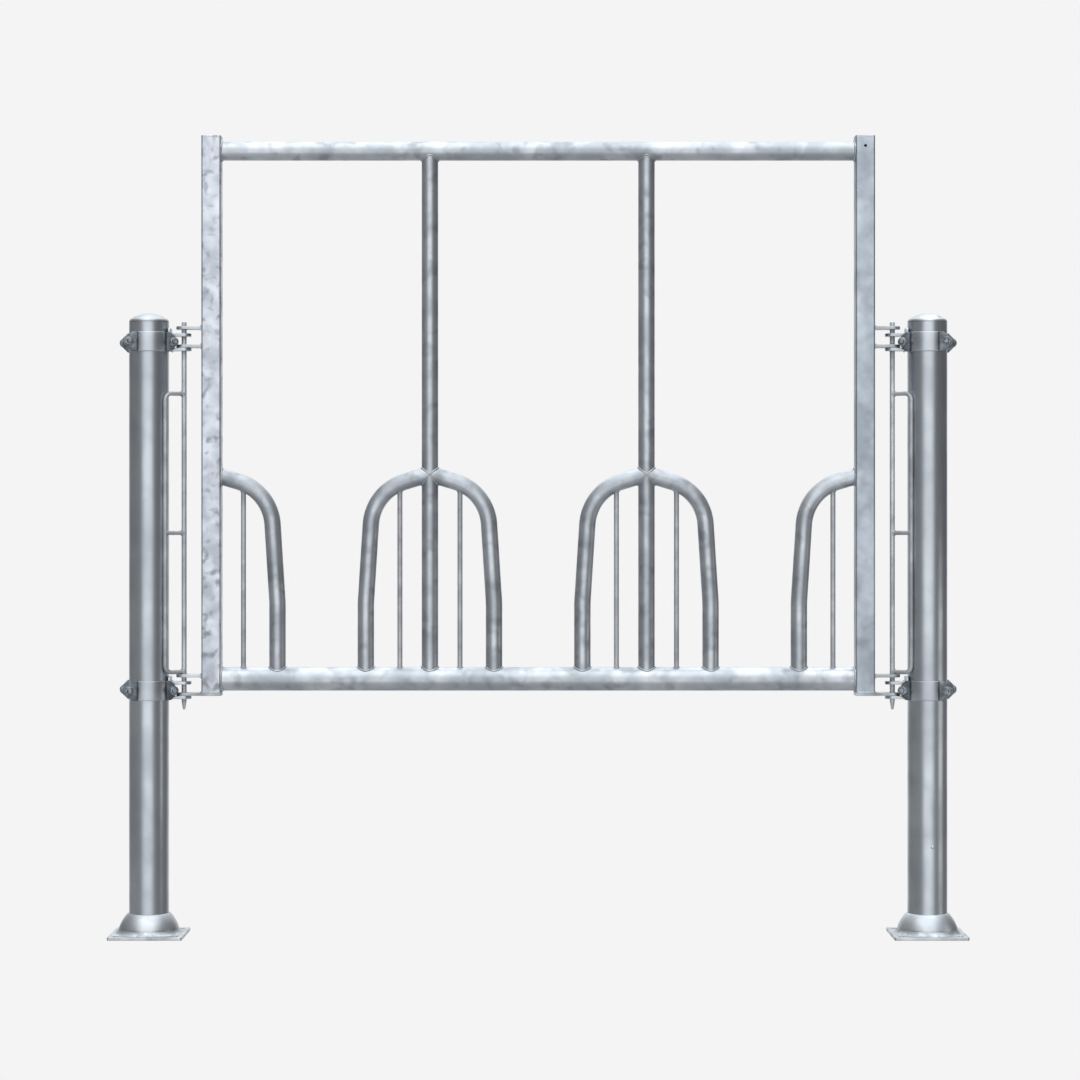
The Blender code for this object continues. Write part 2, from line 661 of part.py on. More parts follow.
def build_clamp(panel, side, hinge):
    """One clamp: two halves that grip the post, the front one with its fork, and its bolts and nuts."""
    facing = -SIDES[side]
    name = f"{side}_{hinge}_clamp"
    place = (SIDES[side] * POST_SPACING / 2, 0, HINGES[hinge] + CLAMP_Z)
    grip = add_empty(name + "_grip", panel, place, facing * CLAMP_TURN)
    bolts = {"inner": facing * BOLT_OFFSET, "outer": -facing * BOLT_OFFSET}
    front_view = Matrix.Rotation(math.radians(90), 4, "X")
    depth = 2 * (EAR_OUTER_PLANE + POST_DIAMETER)
    fork = fork_mesh(facing)
    fork.transform(Matrix.Rotation(math.radians(-facing * CLAMP_TURN), 4, "Z"))
    joined = {"front": [(fork, "UNION")], "rear": []}
    for half, turn in {"front": 180.0, "rear": 0.0}.items():
        outline = saddle_outline(facing * CLAMP_TURN)
        mesh = flat_mesh([outline], CLAMP_HEIGHT, Matrix.Rotation(math.radians(turn), 4, "Z"))
        limits = flat_mesh([saddle_front_outline()], depth, front_view)
        steps = [(limits, "INTERSECT")] + joined[half]
        for offset in bolts.values():
            along = Matrix.Translation((offset, 0, 0)) @ front_view
            drill = prism(BOLT_DIAMETER / 2 + BOLT_HOLE_CLEARANCE, depth, BOLT_FACETS, along)
            steps.append((drill, "DIFFERENCE"))
        add_piece(f"{name}_{half}_half", combined_mesh(mesh, steps), POST_ZINC, grip)
    for hand, offset in bolts.items():
        add_piece(f"{name}_{hand}_bolt", bolt_mesh(), FASTENER_ZINC, grip, (offset, 0, 0))
        add_piece(f"{name}_{hand}_nut", nut_mesh(), FASTENER_ZINC, grip, (offset, 0, 0))


def disc(radius, start, end, steps):
    """Mesh of a cylinder or prism along Y, from one place to another."""
    along = Matrix.Translation((0, (start + end) / 2, 0)) @ Matrix.Rotation(math.radians(90), 4, "X")
    return prism(radius, end - start, steps, along)


def bolt_mesh():
    """Clamp bolt along Y, its head at the rear, in one with the washer under its head."""
    head_face = EAR_OUTER_PLANE + SEAT_GAP + WASHER_THICKNESS
    shank_end = -head_face - NUT_HEIGHT - BOLT_PROTRUSION
    washer = disc(WASHER_DIAMETER / 2, EAR_OUTER_PLANE + SEAT_GAP, head_face, WASHER_FACETS)
    head = disc(HEX_RADIUS, head_face - WASHER_THICKNESS / 2, head_face + HEAD_HEIGHT, 6)
    shank = disc(BOLT_DIAMETER / 2, shank_end, head_face + HEAD_HEIGHT / 2, BOLT_FACETS)
    return combined_mesh(washer, [(head, "UNION"), (shank, "UNION")])


def nut_mesh():
    """Nut at the front end of a clamp bolt, in one with the washer behind it."""
    nut_face = -(EAR_OUTER_PLANE + SEAT_GAP + WASHER_THICKNESS)
    nut_end = nut_face - NUT_HEIGHT
    washer = disc(WASHER_DIAMETER / 2, nut_face, nut_face + WASHER_THICKNESS, WASHER_FACETS)
    nut = disc(HEX_RADIUS, nut_end, nut_face + WASHER_THICKNESS / 2, 6)
    bore_radius = BOLT_DIAMETER / 2 + NUT_BORE_CLEARANCE
    bore = disc(bore_radius, nut_end - WASHER_THICKNESS, 0, BOLT_FACETS)
    return combined_mesh(washer, [(nut, "UNION"), (bore, "DIFFERENCE")])


def build_rod(panel, side):
    """Locking rod with its gap guard, a bent wire that leans on the front of the post."""
    sign = SIDES[side]
    axis = add_empty(side + "_rod_axis", panel, (sign * (POST_SPACING / 2 - ROD_OFFSET), 0, 0))
    radius = ROD_DIAMETER / 2
    tip = -ROD_TIP_DROP
    top = tip + ROD_LENGTH
    profile = [
        (0, top),
        (radius - ROD_CHAMFER, top),
        (radius, top - ROD_CHAMFER),
        (radius, tip + ROD_TAPER_LENGTH),
        (ROD_TIP_DIAMETER / 2, tip),
        (0, tip),
    ]
    rod = add_turned(side + "_locking_rod", profile, False, ROD_FACETS, WIRE_ZINC, axis)

    leg_distance = POST_RADIUS + GUARD_WIRE_DIAMETER / 2 + SEAT_GAP
    spread = ROD_OFFSET**2 + GUARD_REACH**2 - leg_distance**2
    lean = math.degrees(math.acos(spread / (2 * ROD_OFFSET * GUARD_REACH)))
    turn = -lean if sign > 0 else lean - 180
    low = LUG_THICKNESS + LUG_PITCH + SEAT_GAP + GUARD_WIRE_DIAMETER / 2
    corners = [(0, GUARD_HEIGHT), (GUARD_REACH, GUARD_HEIGHT), (GUARD_REACH, 0), (0, 0)]
    path = [(x, 0, z) for x, z in rounded_path(corners, [GUARD_CORNER_RADIUS] * 2)]
    wires = {
        "wire": (round_bar_mesh(path, GUARD_WIRE_DIAMETER, GUARD_FACETS), low),
        "rung": (
            round_bar_mesh([(0, 0, 0), (GUARD_REACH, 0, 0)], GUARD_WIRE_DIAMETER, GUARD_FACETS),
            low + GUARD_HEIGHT / 2,
        ),
    }
    for kind, (mesh, height) in wires.items():
        wire = add_cutter(f"{side}_guard_{kind}", mesh, axis, (0, 0, height), turn)
        combine(rod, wire, "UNION")


for old in list(bpy.data.objects):
    bpy.data.objects.remove(old)
parts = collection("horse_feed_barrier")
cutters = collection("cutters")

for post_side in SIDES:
    build_post(post_side)
panel_frame = add_empty("panel_foot", location=(0, 0, PANEL_FOOT_HEIGHT))
outside_fits = build_frame(panel_frame)
build_dividers(panel_frame, outside_fits)
build_arches(panel_frame, outside_fits)
build_lugs(panel_frame)
for post_side in SIDES:
    for hinge_name in HINGES:
        build_clamp(panel_frame, post_side, hinge_name)
for post_side in SIDES:
    build_rod(panel_frame, post_side)
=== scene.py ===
import math

import bmesh
import bpy
from mathutils import Matrix, Vector


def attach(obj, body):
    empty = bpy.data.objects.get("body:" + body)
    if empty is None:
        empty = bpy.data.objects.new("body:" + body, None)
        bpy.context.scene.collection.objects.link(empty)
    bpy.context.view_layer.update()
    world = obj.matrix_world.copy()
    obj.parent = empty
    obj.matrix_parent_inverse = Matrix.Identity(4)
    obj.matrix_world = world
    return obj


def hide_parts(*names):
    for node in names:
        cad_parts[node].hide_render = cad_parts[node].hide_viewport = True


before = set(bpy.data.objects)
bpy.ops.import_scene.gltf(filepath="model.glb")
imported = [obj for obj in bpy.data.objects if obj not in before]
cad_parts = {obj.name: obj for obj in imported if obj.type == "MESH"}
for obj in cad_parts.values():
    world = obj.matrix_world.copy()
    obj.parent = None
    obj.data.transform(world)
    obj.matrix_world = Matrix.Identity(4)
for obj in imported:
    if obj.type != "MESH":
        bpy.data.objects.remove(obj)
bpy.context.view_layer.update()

# Posts. Two round steel tubes, 101.6 mm across with a 3.6 mm wall, hot-dip galvanised. They stand
# still and carry the clamps. The zinc drained down them, so their clouds are drawn out lengthways,
# and it left a nib low on the right one.
SIDES = {"left": -1, "right": 1}
POST_X = 1.000
POST_RADIUS = 0.0508
POST_WALL = 0.0036
POST_FOOT = 0.0083
POST_RIM = 1.576
POST_EDGE = 0.0008
POST_STEPS = 128
NIB_X = 0.007
NIB_HEIGHT = 0.232
NIB_SIZE = (0.0048, 0.0022, 0.0042)
ALLOY_GREY = "#868b91"
CRYSTAL_MM, GRAIN_MM, WAVE_MM = 7, 5, 55
WAVE_DEPTH = 0.0005
SAME_POINT = 0.000004
CREASE = math.radians(38)


def linear(code):
    """Linear colour of an sRGB hex value."""
    channels = [int(code[n : n + 2], 16) / 255 for n in (1, 3, 5)]
    return [c / 12.92 if c < 0.04045 else ((c + 0.055) / 1.055) ** 2.4 for c in channels] + [1.0]


def add_node(tree, kind, settings, links):
    """Adds a shader node with its settings. A link is a value or the output that it comes from."""
    node = tree.nodes.new("ShaderNode" + kind)
    for name, value in settings.items():
        setattr(node, name, value)
    for name, value in links.items():
        if isinstance(value, bpy.types.NodeSocket):
            tree.links.new(value, node.inputs[name])
        else:
            node.inputs[name].default_value = value
    return node.outputs


def galvanised(name, bright, dull, clouds, streaks, patches, satin, matt):
    """Hot-dip galvanised steel. Its zinc goes from bright and satin to dull and matt in clouds of a
    size in mm, and in streaks as long each way as their (x, y, z) in mm. Soft patches where the
    alloy shows, from none at 0 to plain at 1, are darkest and roughest. Crystals and grain are
    faint, and the skin is a little wavy."""
    zinc = bpy.data.materials.new(name)
    zinc.use_nodes = True
    tree = zinc.node_tree
    shader = tree.nodes["Principled BSDF"]
    shader.inputs["Metallic"].default_value = 1.0
    place = add_node(tree, "TexCoord", {}, {})["Object"]

    soft = {"Detail": 2.0, "Roughness": 0.45, "Distortion": 0.3}
    cloud = {"Vector": place, "Scale": 1000 / clouds, **soft}
    cloud = add_node(tree, "TexNoise", {}, cloud)["Fac"]
    drawn_out = {"Vector": place, "Scale": [1000 / length for length in streaks]}
    drawn_out = add_node(tree, "Mapping", {}, drawn_out)["Vector"]
    streak = {"Vector": drawn_out, "Scale": 1.0, "Detail": 2.0}
    streak = add_node(tree, "TexNoise", {}, streak)["Fac"]
    crystal = add_node(tree, "TexVoronoi", {}, {"Vector": place, "Scale": 1000 / CRYSTAL_MM})
    crystal = add_node(tree, "SeparateColor", {}, {"Color": crystal["Color"]})["Red"]
    grain = {"Vector": place, "Scale": 1000 / GRAIN_MM, "Detail": 3.0}
    grain = add_node(tree, "TexNoise", {}, grain)["Fac"]
    wear = cloud
    for part, share in ((streak, 0.8), (grain, 0.05), (crystal, 0.04)):
        wear = {0: part, 1: share, 2: wear}
        wear = add_node(tree, "Math", {"operation": "MULTIPLY_ADD"}, wear)["Value"]
    dulling = {"Value": wear, "From Min": 0.75, "From Max": 1.12}
    dulling = add_node(tree, "MapRange", {}, dulling)["Result"]

    soft = {"Detail": 1.5, "Roughness": 0.5, "Distortion": 0.2}
    alloy = {"Vector": place, "Scale": 1600 / clouds, **soft}
    alloy = add_node(tree, "TexNoise", {}, alloy)["Fac"]
    patch = {"Value": alloy, "From Min": 0.50, "From Max": 0.74, "To Max": patches}
    patch = add_node(tree, "MapRange", {"interpolation_type": "SMOOTHSTEP"}, patch)["Result"]

    colour = {0: dulling, 6: linear(bright), 7: linear(dull)}
    colour = add_node(tree, "Mix", {"data_type": "RGBA"}, colour)[2]
    colour = {0: patch, 6: colour, 7: linear(ALLOY_GREY)}
    colour = add_node(tree, "Mix", {"data_type": "RGBA"}, colour)[2]
    tree.links.new(colour, shader.inputs["Base Color"])

    rough = {0: patch, 1: 0.6, 2: dulling}
    rough = add_node(tree, "Math", {"operation": "MULTIPLY_ADD"}, rough)["Value"]
    rough = {"Value": rough, "To Min": satin, "To Max": matt}
    rough = add_node(tree, "MapRange", {}, rough)["Result"]
    tree.links.new(rough, shader.inputs["Roughness"])

    waves = {"Vector": place, "Scale": 1000 / WAVE_MM, "Detail": 1.0}
    waves = add_node(tree, "TexNoise", {}, waves)["Fac"]
    height = {0: grain, 1: 0.01, 2: waves}
    height = add_node(tree, "Math", {"operation": "MULTIPLY_ADD"}, height)["Value"]
    skin = {"Height": height, "Strength": 1.0, "Distance": WAVE_DEPTH}
    skin = add_node(tree, "Bump", {}, skin)["Normal"]
    tree.links.new(skin, shader.inputs["Normal"])
    return zinc


def turned(profile, place, steps=96):
    """Body turned about an upright axis from a profile of (radius, height) points."""
    work = bmesh.new()
    points = [work.verts.new((radius, 0, height)) for radius, height in profile]
    for first, second in zip(points, points[1:]):
        work.edges.new((first, second))
    line = work.verts[:] + work.edges[:]
    bmesh.ops.spin(
        work, geom=line, cent=(0, 0, 0), axis=(0, 0, 1), angle=math.tau, steps=steps,
        use_merge=True,
    )
    bmesh.ops.translate(work, verts=work.verts, vec=place)
    return work


def add_piece(node, work, body, slot, *zincs):
    """Makes the finished piece for a CAD node, its seams closed and its faces turned outwards."""
    bmesh.ops.remove_doubles(work, verts=work.verts, dist=SAME_POINT)
    bmesh.ops.recalc_face_normals(work, faces=work.faces)
    mesh = bpy.data.meshes.new(node + "_finished")
    work.to_mesh(mesh)
    work.free()
    for zinc in zincs:
        mesh.materials.append(zinc)
    mesh.shade_smooth()
    mesh.set_sharp_from_angle(angle=CREASE)
    piece = bpy.data.objects.new(node + "_finished", mesh)
    bpy.context.scene.collection.objects.link(piece)
    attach(piece, body)
    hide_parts(node)


# Gives the posts a smooth, fairly bright skin that mirrors its surroundings in soft upright bands
post_zinc = galvanised(
    "hot-dip galvanised post", "#ced3d7", "#b8bdc2", 95, (45, 45, 500), 0.0, 0.28, 0.35
)

for side, sign in SIDES.items():
    wall = [
        (POST_RADIUS - POST_EDGE, POST_RIM),
        (POST_RADIUS, POST_RIM - POST_EDGE),
        (POST_RADIUS, POST_FOOT),
        (POST_RADIUS - POST_WALL, POST_FOOT),
        (POST_RADIUS - POST_WALL, POST_RIM),
        (POST_RADIUS - POST_EDGE, POST_RIM),
    ]
    work = turned(wall, (sign * POST_X, 0, 0), POST_STEPS)
    if side == "right":
        nib_place = (POST_X + NIB_X, -math.sqrt(POST_RADIUS**2 - NIB_X**2), NIB_HEIGHT)
        nib = Matrix.Translation(nib_place) @ Matrix.Diagonal((*NIB_SIZE, 1))
        bmesh.ops.create_uvsphere(work, u_segments=20, v_segments=12, radius=1.0, matrix=nib)
    add_piece(side + "_post", work, "posts", "post_zinc", post_zinc)


# Base plates. Flat bar 190 mm square and 8 mm thick under each post, with four anchor holes and a
# hole for the zinc to drain. Its sawn edges were broken before dipping.
PLATE_SIDE = 0.190
PLATE_THICKNESS = 0.008
PLATE_CORNER = 0.005
ANCHOR_SPACING = 0.150
ANCHOR_RADIUS = 0.008
DRAIN_RADIUS = 0.020
SAWN_ANGLE = math.radians(50)


def on_circle(centre, radius, bearing):
    """Point on a circle at a bearing in degrees."""
    turn = math.radians(bearing)
    return (centre[0] + radius * math.cos(turn), centre[1] + radius * math.sin(turn))


def arc(centre, radius, start, end, steps):
    """Points on a circle from one bearing to another in degrees, both included."""
    bearings = [start + (end - start) * n / steps for n in range(steps + 1)]
    return [on_circle(centre, radius, bearing) for bearing in bearings]


def circle(centre, radius, steps):
    """Points all round a circle, each once."""
    return arc(centre, radius, 0, 360, steps)[:-1]


def rectangle(left, right, low, high, radius):
    """Outline of a rectangle with rounded corners."""
    outline = arc((right - radius, low + radius), radius, -90, 0, 6)
    outline += arc((right - radius, high - radius), radius, 0, 90, 6)
    outline += arc((left + radius, high - radius), radius, 90, 180, 6)
    return outline + arc((left + radius, low + radius), radius, 180, 270, 6)


def plate(loops, thickness, edge=0.0007):
    """Flat plate in the XY plane, cut to an outline with holes inside it, its edges just broken."""
    work = bmesh.new()
    for loop in loops:
        corners = [work.verts.new((x, y, 0)) for x, y in loop]
        for first, second in zip(corners, corners[1:] + corners[:1]):
            work.edges.new((first, second))
    bmesh.ops.triangle_fill(work, use_beauty=True, use_dissolve=False, edges=work.edges[:])
    raised = bmesh.ops.extrude_face_region(work, geom=work.faces[:])["geom"]
    top = [part for part in raised if isinstance(part, bmesh.types.BMVert)]
    bmesh.ops.translate(work, verts=top, vec=(0, 0, thickness))
    bmesh.ops.recalc_face_normals(work, faces=work.faces)
    rims = [rim for rim in work.edges if rim.calc_face_angle(0) > SAWN_ANGLE]
    bmesh.ops.bevel(
        work, geom=rims, offset=edge, offset_type="OFFSET", segments=2, profile=0.5,
        affect="EDGES", material=-1,
    )
    return work


# Gives plates and lugs a duller, greyer face with close mottling
plate_zinc = galvanised(
    "hot-dip galvanised plate", "#d0d4d6", "#b2b7b9", 60, (70, 70, 70), 0.35, 0.34, 0.44
)

half_side = PLATE_SIDE / 2
half_spacing = ANCHOR_SPACING / 2
for side, sign in SIDES.items():
    loops = [rectangle(-half_side, half_side, -half_side, half_side, PLATE_CORNER)]
    loops.append(circle((0, 0), DRAIN_RADIUS, 40))
    for x in (-half_spacing, half_spacing):
        for y in (-half_spacing, half_spacing):
            loops.append(circle((x, y), ANCHOR_RADIUS, 32))
    work = plate(loops, PLATE_THICKNESS)
    bmesh.ops.translate(work, verts=work.verts, vec=(sign * POST_X, 0, 0))
    add_piece(side + "_base_plate", work, "posts", "plate_zinc", plate_zinc)


# Base collars. A bell pressed from 4 mm sheet round the foot of each post, 51 mm high. Its side
# swells gently to a short upright rim, and a broad hollow fillet weld joins that rim to the base
# plate.
COLLAR_HEIGHT = 0.051
COLLAR_FOOT_RADIUS = 0.077
COLLAR_RIM = 0.0120
COLLAR_BULGE = 0.094
COLLAR_WALL = 0.004
LIP_WIDTH = 0.0023
PUSH_FIT = 0.0002
FILLET_CENTRE = (0.0985, 0.0190)
FILLET_RADIUS = 0.0230
WELD_FINISH = 1


def swelling(first, last, radius, steps):
    """Points of an arc from first down to last that swells outwards."""
    run, drop = last[0] - first[0], last[1] - first[1]
    chord = math.hypot(run, drop)
    depth = math.sqrt(radius**2 - chord**2 / 4)
    centre = (
        (first[0] + last[0]) / 2 + drop / chord * depth,
        (first[1] + last[1]) / 2 - run / chord * depth,
    )
    start = math.degrees(math.atan2(first[1] - centre[1], first[0] - centre[0]))
    end = math.degrees(math.atan2(last[1] - centre[1], last[0] - centre[0]))
    return arc(centre, radius, start, end, steps)


def add_to(work, other, matrix, finish=0):
    """Moves another body by a matrix and joins it to the work, with the finish of that number."""
    bmesh.ops.transform(other, matrix=matrix, verts=other.verts)
    for face in other.faces:
        face.material_index = finish
    mesh = bpy.data.meshes.new("joined")
    other.to_mesh(mesh)
    other.free()
    work.from_mesh(mesh)
    bpy.data.meshes.remove(mesh)


neck = POST_RADIUS + PUSH_FIT
lip_crown = (neck + 0.0015, COLLAR_HEIGHT + 0.0002)
lip = (neck + LIP_WIDTH, COLLAR_HEIGHT)
outside = swelling(lip, (COLLAR_FOOT_RADIUS, COLLAR_RIM), COLLAR_BULGE, 20)
inner_neck = (neck, COLLAR_HEIGHT - COLLAR_WALL)
inner_foot = (COLLAR_FOOT_RADIUS - COLLAR_WALL, 0)
inside = swelling(inner_neck, inner_foot, COLLAR_BULGE - COLLAR_WALL, 8)
bell = [(neck, COLLAR_HEIGHT), lip_crown] + outside
bell += [(COLLAR_FOOT_RADIUS, 0)] + inside[::-1] + [(neck, COLLAR_HEIGHT)]
fillet_root = [(0.0755, -0.0003), (0.0765, 0.0100)]
fillet = fillet_root + arc(FILLET_CENTRE, FILLET_RADIUS, 203, 237, 8) + fillet_root[:1]

# Gives the bells a softer skin than the posts, the right one lighter. The two differ only in tone:
# the left one's darker colour is painted shade and the right one's lighter colour painted light,
# which set how bright each one's highlight is
bell_lit_and_shaded_zincs = {
    "left": galvanised(
        "galvanised bell with painted shade", "#ced2d6", "#b9bec3", 60, (60, 60, 60), 0.1, 0.33, 0.41
    ),
    "right": galvanised(
        "galvanised bell with painted light", "#dbe0e4", "#c5cbd0", 60, (60, 60, 60), 0.1, 0.33, 0.41
    ),
}

# Gives weld beads a satin, slightly uneven skin
weld_zinc = galvanised(
    "galvanised weld", "#d2d6d8", "#b6bbbe", 16, (14, 14, 14), 0.2, 0.42, 0.52
)

for side, sign in SIDES.items():
    seat = (sign * POST_X, 0, POST_FOOT)
    work = turned(bell, seat, POST_STEPS)
    add_to(work, turned(fillet, seat, POST_STEPS), Matrix(), WELD_FINISH)
    add_piece(side + "_base_collar", work, "posts", "post_zinc", bell_lit_and_shaded_zincs[side], weld_zinc)


# Post caps. Domed sheet caps with a round knuckle and a spigot that is pushed into the post. Each
# has one 8 mm vent hole near its edge, to the front on the right post and to the back on the left.
CROWN_RADIUS = 0.081
KNUCKLE_RADIUS = 0.009
CAP_SHEET = 0.003
SPIGOT_DEPTH = 0.012
VENT_RADIUS = 0.004
CAP_VENT_REACH = 0.0395
CAP_VENT_BEARINGS = {"left": 70.0, "right": -49.0}
SEAM_GAP = 0.0003


def drilled(work, radius, depth, place, turn=Matrix()):
    """The work with a hole drilled in it about a place, along its own Z or turned another way."""
    bit = bmesh.new()
    bmesh.ops.create_cone(
        bit, cap_ends=True, segments=32, radius1=radius, radius2=radius, depth=depth,
        matrix=Matrix.Translation(place) @ turn,
    )
    bodies = []
    for body in (work, bit):
        mesh = bpy.data.meshes.new("drilling")
        bmesh.ops.recalc_face_normals(body, faces=body.faces)
        body.to_mesh(mesh)
        body.free()
        bodies.append(bpy.data.objects.new("drilling", mesh))
        bpy.context.scene.collection.objects.link(bodies[-1])
    hole = bodies[0].modifiers.new("hole", "BOOLEAN")
    hole.object = bodies[1]
    graph = bpy.context.evaluated_depsgraph_get()
    result = bmesh.new()
    result.from_object(bodies[0], graph)
    for body in bodies:
        bpy.data.objects.remove(body)
    return result


# Gives the domes a bright skin that takes the light from above almost white
cap_zinc = galvanised(
    "hot-dip galvanised pressing", "#d8dcde", "#b9bec1", 60, (80, 80, 80), 0.1, 0.32, 0.40
)

crown_reach = CROWN_RADIUS - KNUCKLE_RADIUS
knuckle = POST_RADIUS - KNUCKLE_RADIUS
crown_drop = math.sqrt(crown_reach**2 - knuckle**2)
meeting = math.degrees(math.asin(knuckle / crown_reach))
spigot = POST_RADIUS - POST_WALL - PUSH_FIT
dome = arc((0, -crown_drop), CROWN_RADIUS, 90, 90 - meeting, 20)
dome += arc((knuckle, 0), KNUCKLE_RADIUS, 90 - meeting, 0, 8)[1:]
dome += [(spigot, 0), (spigot, -SPIGOT_DEPTH), (spigot - CAP_SHEET, -SPIGOT_DEPTH)]
dome += arc((0, -crown_drop), CROWN_RADIUS - CAP_SHEET, 55, 90, 12)
for side, sign in SIDES.items():
    axis = (sign * POST_X, 0)
    vent = (*on_circle(axis, CAP_VENT_REACH, CAP_VENT_BEARINGS[side]), POST_RIM + 0.006)
    work = drilled(turned(dome, (*axis, POST_RIM + SEAM_GAP)), VENT_RADIUS, 0.030, vent)
    add_piece(side + "_post_cap", work, "posts", "plate_zinc", cap_zinc)


# Uprights. Square tube 50 x 50 x 3 mm with a plate welded in to close its top and a lug closing its
# foot. The right one shows the 8 mm hole that let air and zinc through.
UPRIGHT_X = 0.8384
UPRIGHT_HALF = 0.025
UPRIGHT_CORNER = 0.005
UPRIGHT_EDGE = 0.001
UPRIGHT_VENT_DROP = 0.027
PANEL_FOOT = 0.617
PANEL_TOP = 2.054
UPRIGHT_FOOT = PANEL_FOOT + 0.0083
TOP_SEAM_DROP = 0.0042
TOP_BEAD = 0.0009
FOOT_BEAD = 0.0022
FOOT_BEAD_RISE = 0.0008
BEAD_SUNK = 0.0004
BEAD_CORNER = 0.0048


def add_beads(work, runs, size):
    """Adds weld beads along runs, each (points, closed), rippled as a welder leaves them."""
    curve = bpy.data.curves.new("beads", "CURVE")
    curve.dimensions = "3D"
    curve.bevel_depth = size
    curve.bevel_resolution = 3
    curve.use_fill_caps = True
    for points, closed in runs:
        spline = curve.splines.new("POLY")
        spline.points.add(len(points) - 1)
        spline.use_cyclic_u = closed
        for n, (point, place) in enumerate(zip(spline.points, points)):
            point.co = (*place, 1)
            ripple, drift = math.sin(2.2 * n), math.sin(0.37 * n + place[0] * 50)
            point.radius = 1 + 0.13 * ripple + 0.10 * drift
    holder = bpy.data.objects.new("beads", curve)
    beads = bmesh.new()
    beads.from_mesh(bpy.data.meshes.new_from_object(holder))
    bpy.data.objects.remove(holder)
    add_to(work, beads, Matrix(), WELD_FINISH)


# Gives the left square tube a light, mottled face and the right one an even blue-grey
upright_zincs = {
    "left": galvanised(
        "mottled galvanised tube", "#e1e4ea", "#c2c6cd", 42, (45, 45, 80), 0.8, 0.34, 0.44
    ),
    "right": galvanised(
        "even galvanised tube", "#c5ccd3", "#a9b1b8", 60, (70, 70, 140), 0.3, 0.36, 0.44
    ),
}
for side, sign in SIDES.items():
    work = bmesh.new()
    height = PANEL_TOP - UPRIGHT_FOOT
    size = Matrix.Diagonal((2 * UPRIGHT_HALF, 2 * UPRIGHT_HALF, height, 1))
    middle = Matrix.Translation((sign * UPRIGHT_X, 0, UPRIGHT_FOOT + height / 2))
    bmesh.ops.create_cube(work, size=1.0, matrix=middle @ size)
    corners = [edge for edge in work.edges if edge.calc_length() > height / 2]
    bmesh.ops.bevel(
        work, geom=corners, offset=UPRIGHT_CORNER, segments=8, profile=0.5, affect="EDGES",
        material=-1,
    )
    rims = [edge for edge in work.edges if edge.calc_face_angle(0) > SAWN_ANGLE]
    bmesh.ops.bevel(
        work, geom=rims, offset=UPRIGHT_EDGE, segments=3, profile=0.5, affect="EDGES",
        material=-1,
    )
    if side == "right":
        level = Matrix.Rotation(math.radians(90), 4, "X")
        vent = (UPRIGHT_X, -UPRIGHT_HALF, PANEL_TOP - UPRIGHT_VENT_DROP)
        work = drilled(work, VENT_RADIUS, 0.060, vent, level)
    side_x, reach = sign * UPRIGHT_X, UPRIGHT_HALF - BEAD_SUNK
    ring = rectangle(side_x - reach, side_x + reach, -reach, reach, BEAD_CORNER)
    seam = [(x, y, PANEL_TOP - TOP_SEAM_DROP) for x, y in ring]
    foot = [(x, y, UPRIGHT_FOOT + FOOT_BEAD_RISE) for x, y in ring]
    add_beads(work, [(seam, True)], TOP_BEAD)
    add_beads(work, [(foot, True)], FOOT_BEAD)
    add_piece(side + "_upright", work, "panel", "upright_zinc", upright_zincs[side], weld_zinc)


# Rails. The top rail is 48.3 mm tube and the bottom rail 60.3 mm tube, cut square and welded all
# round to the inner faces of the uprights. They were dipped with the panel upright.
RAILS = {"top_rail": (0.02415, 2.0155), "bottom_rail": (0.03015, 0.6595)}
INNER_FACE = UPRIGHT_X - UPRIGHT_HALF
RAIL_BEAD = 0.0024
RAIL_BEAD_RISE = 0.0008
BEAD_OFF_FACE = 0.0012
SUNK = 0.0005


def drawn_on(work, ring):
    """Draws an open ring of edges out into a wall: gives the wall's new points and its new ring."""
    drawn = bmesh.ops.extrude_edge_only(work, edges=ring)["geom"]
    points = [part for part in drawn if isinstance(part, bmesh.types.BMVert)]
    edges = [part for part in drawn if isinstance(part, bmesh.types.BMEdge)]
    return points, [edge for edge in edges if edge.is_boundary]


def close_ends(work):
    """Closes the open ends of a body with flat faces."""
    bmesh.ops.holes_fill(work, edges=[edge for edge in work.edges if edge.is_boundary], sides=0)


def swept(corners, bends, radius, sides=48):
    """Round bar along straight runs in the XZ plane, with each inner corner bent to its radius."""
    work = bmesh.new()
    points = [Vector((x, 0, z)) for x, z in corners]
    heading = (points[1] - points[0]).to_track_quat("Z", "Y").to_matrix().to_4x4()
    bmesh.ops.create_circle(
        work, segments=sides, radius=radius, matrix=Matrix.Translation(points[0]) @ heading
    )
    ring, here = work.edges[:], points[0]
    for before, corner, after, bend in zip(points, points[1:], points[2:], bends):
        come, leave = (corner - before).normalized(), (after - corner).normalized()
        angle = come.angle(leave)
        axis = come.cross(leave).normalized()
        start = corner - come * bend * math.tan(angle / 2)
        moved, ring = drawn_on(work, ring)
        bmesh.ops.translate(work, verts=moved, vec=start - here)
        centre = start + axis.cross(come) * bend
        ends = [vert for edge in ring for vert in edge.verts]
        bent = bmesh.ops.spin(
            work, geom=ring + list(set(ends)), cent=centre, axis=axis, angle=angle,
            steps=max(2, round(math.degrees(angle) / 3)),
        )["geom_last"]
        ring = [part for part in bent if isinstance(part, bmesh.types.BMEdge)]
        here = centre + Matrix.Rotation(angle, 3, axis) @ (start - centre)
    moved, _ = drawn_on(work, ring)
    bmesh.ops.translate(work, verts=moved, vec=points[-1] - here)
    close_ends(work)
    return work


# Gives round tubes a mid grey skin, bright on top, with small dark marks and short streaks
tube_zinc = galvanised(
    "hot-dip galvanised tube", "#d2d6da", "#b4b9be", 60, (110, 45, 110), 0.5, 0.36, 0.44
)

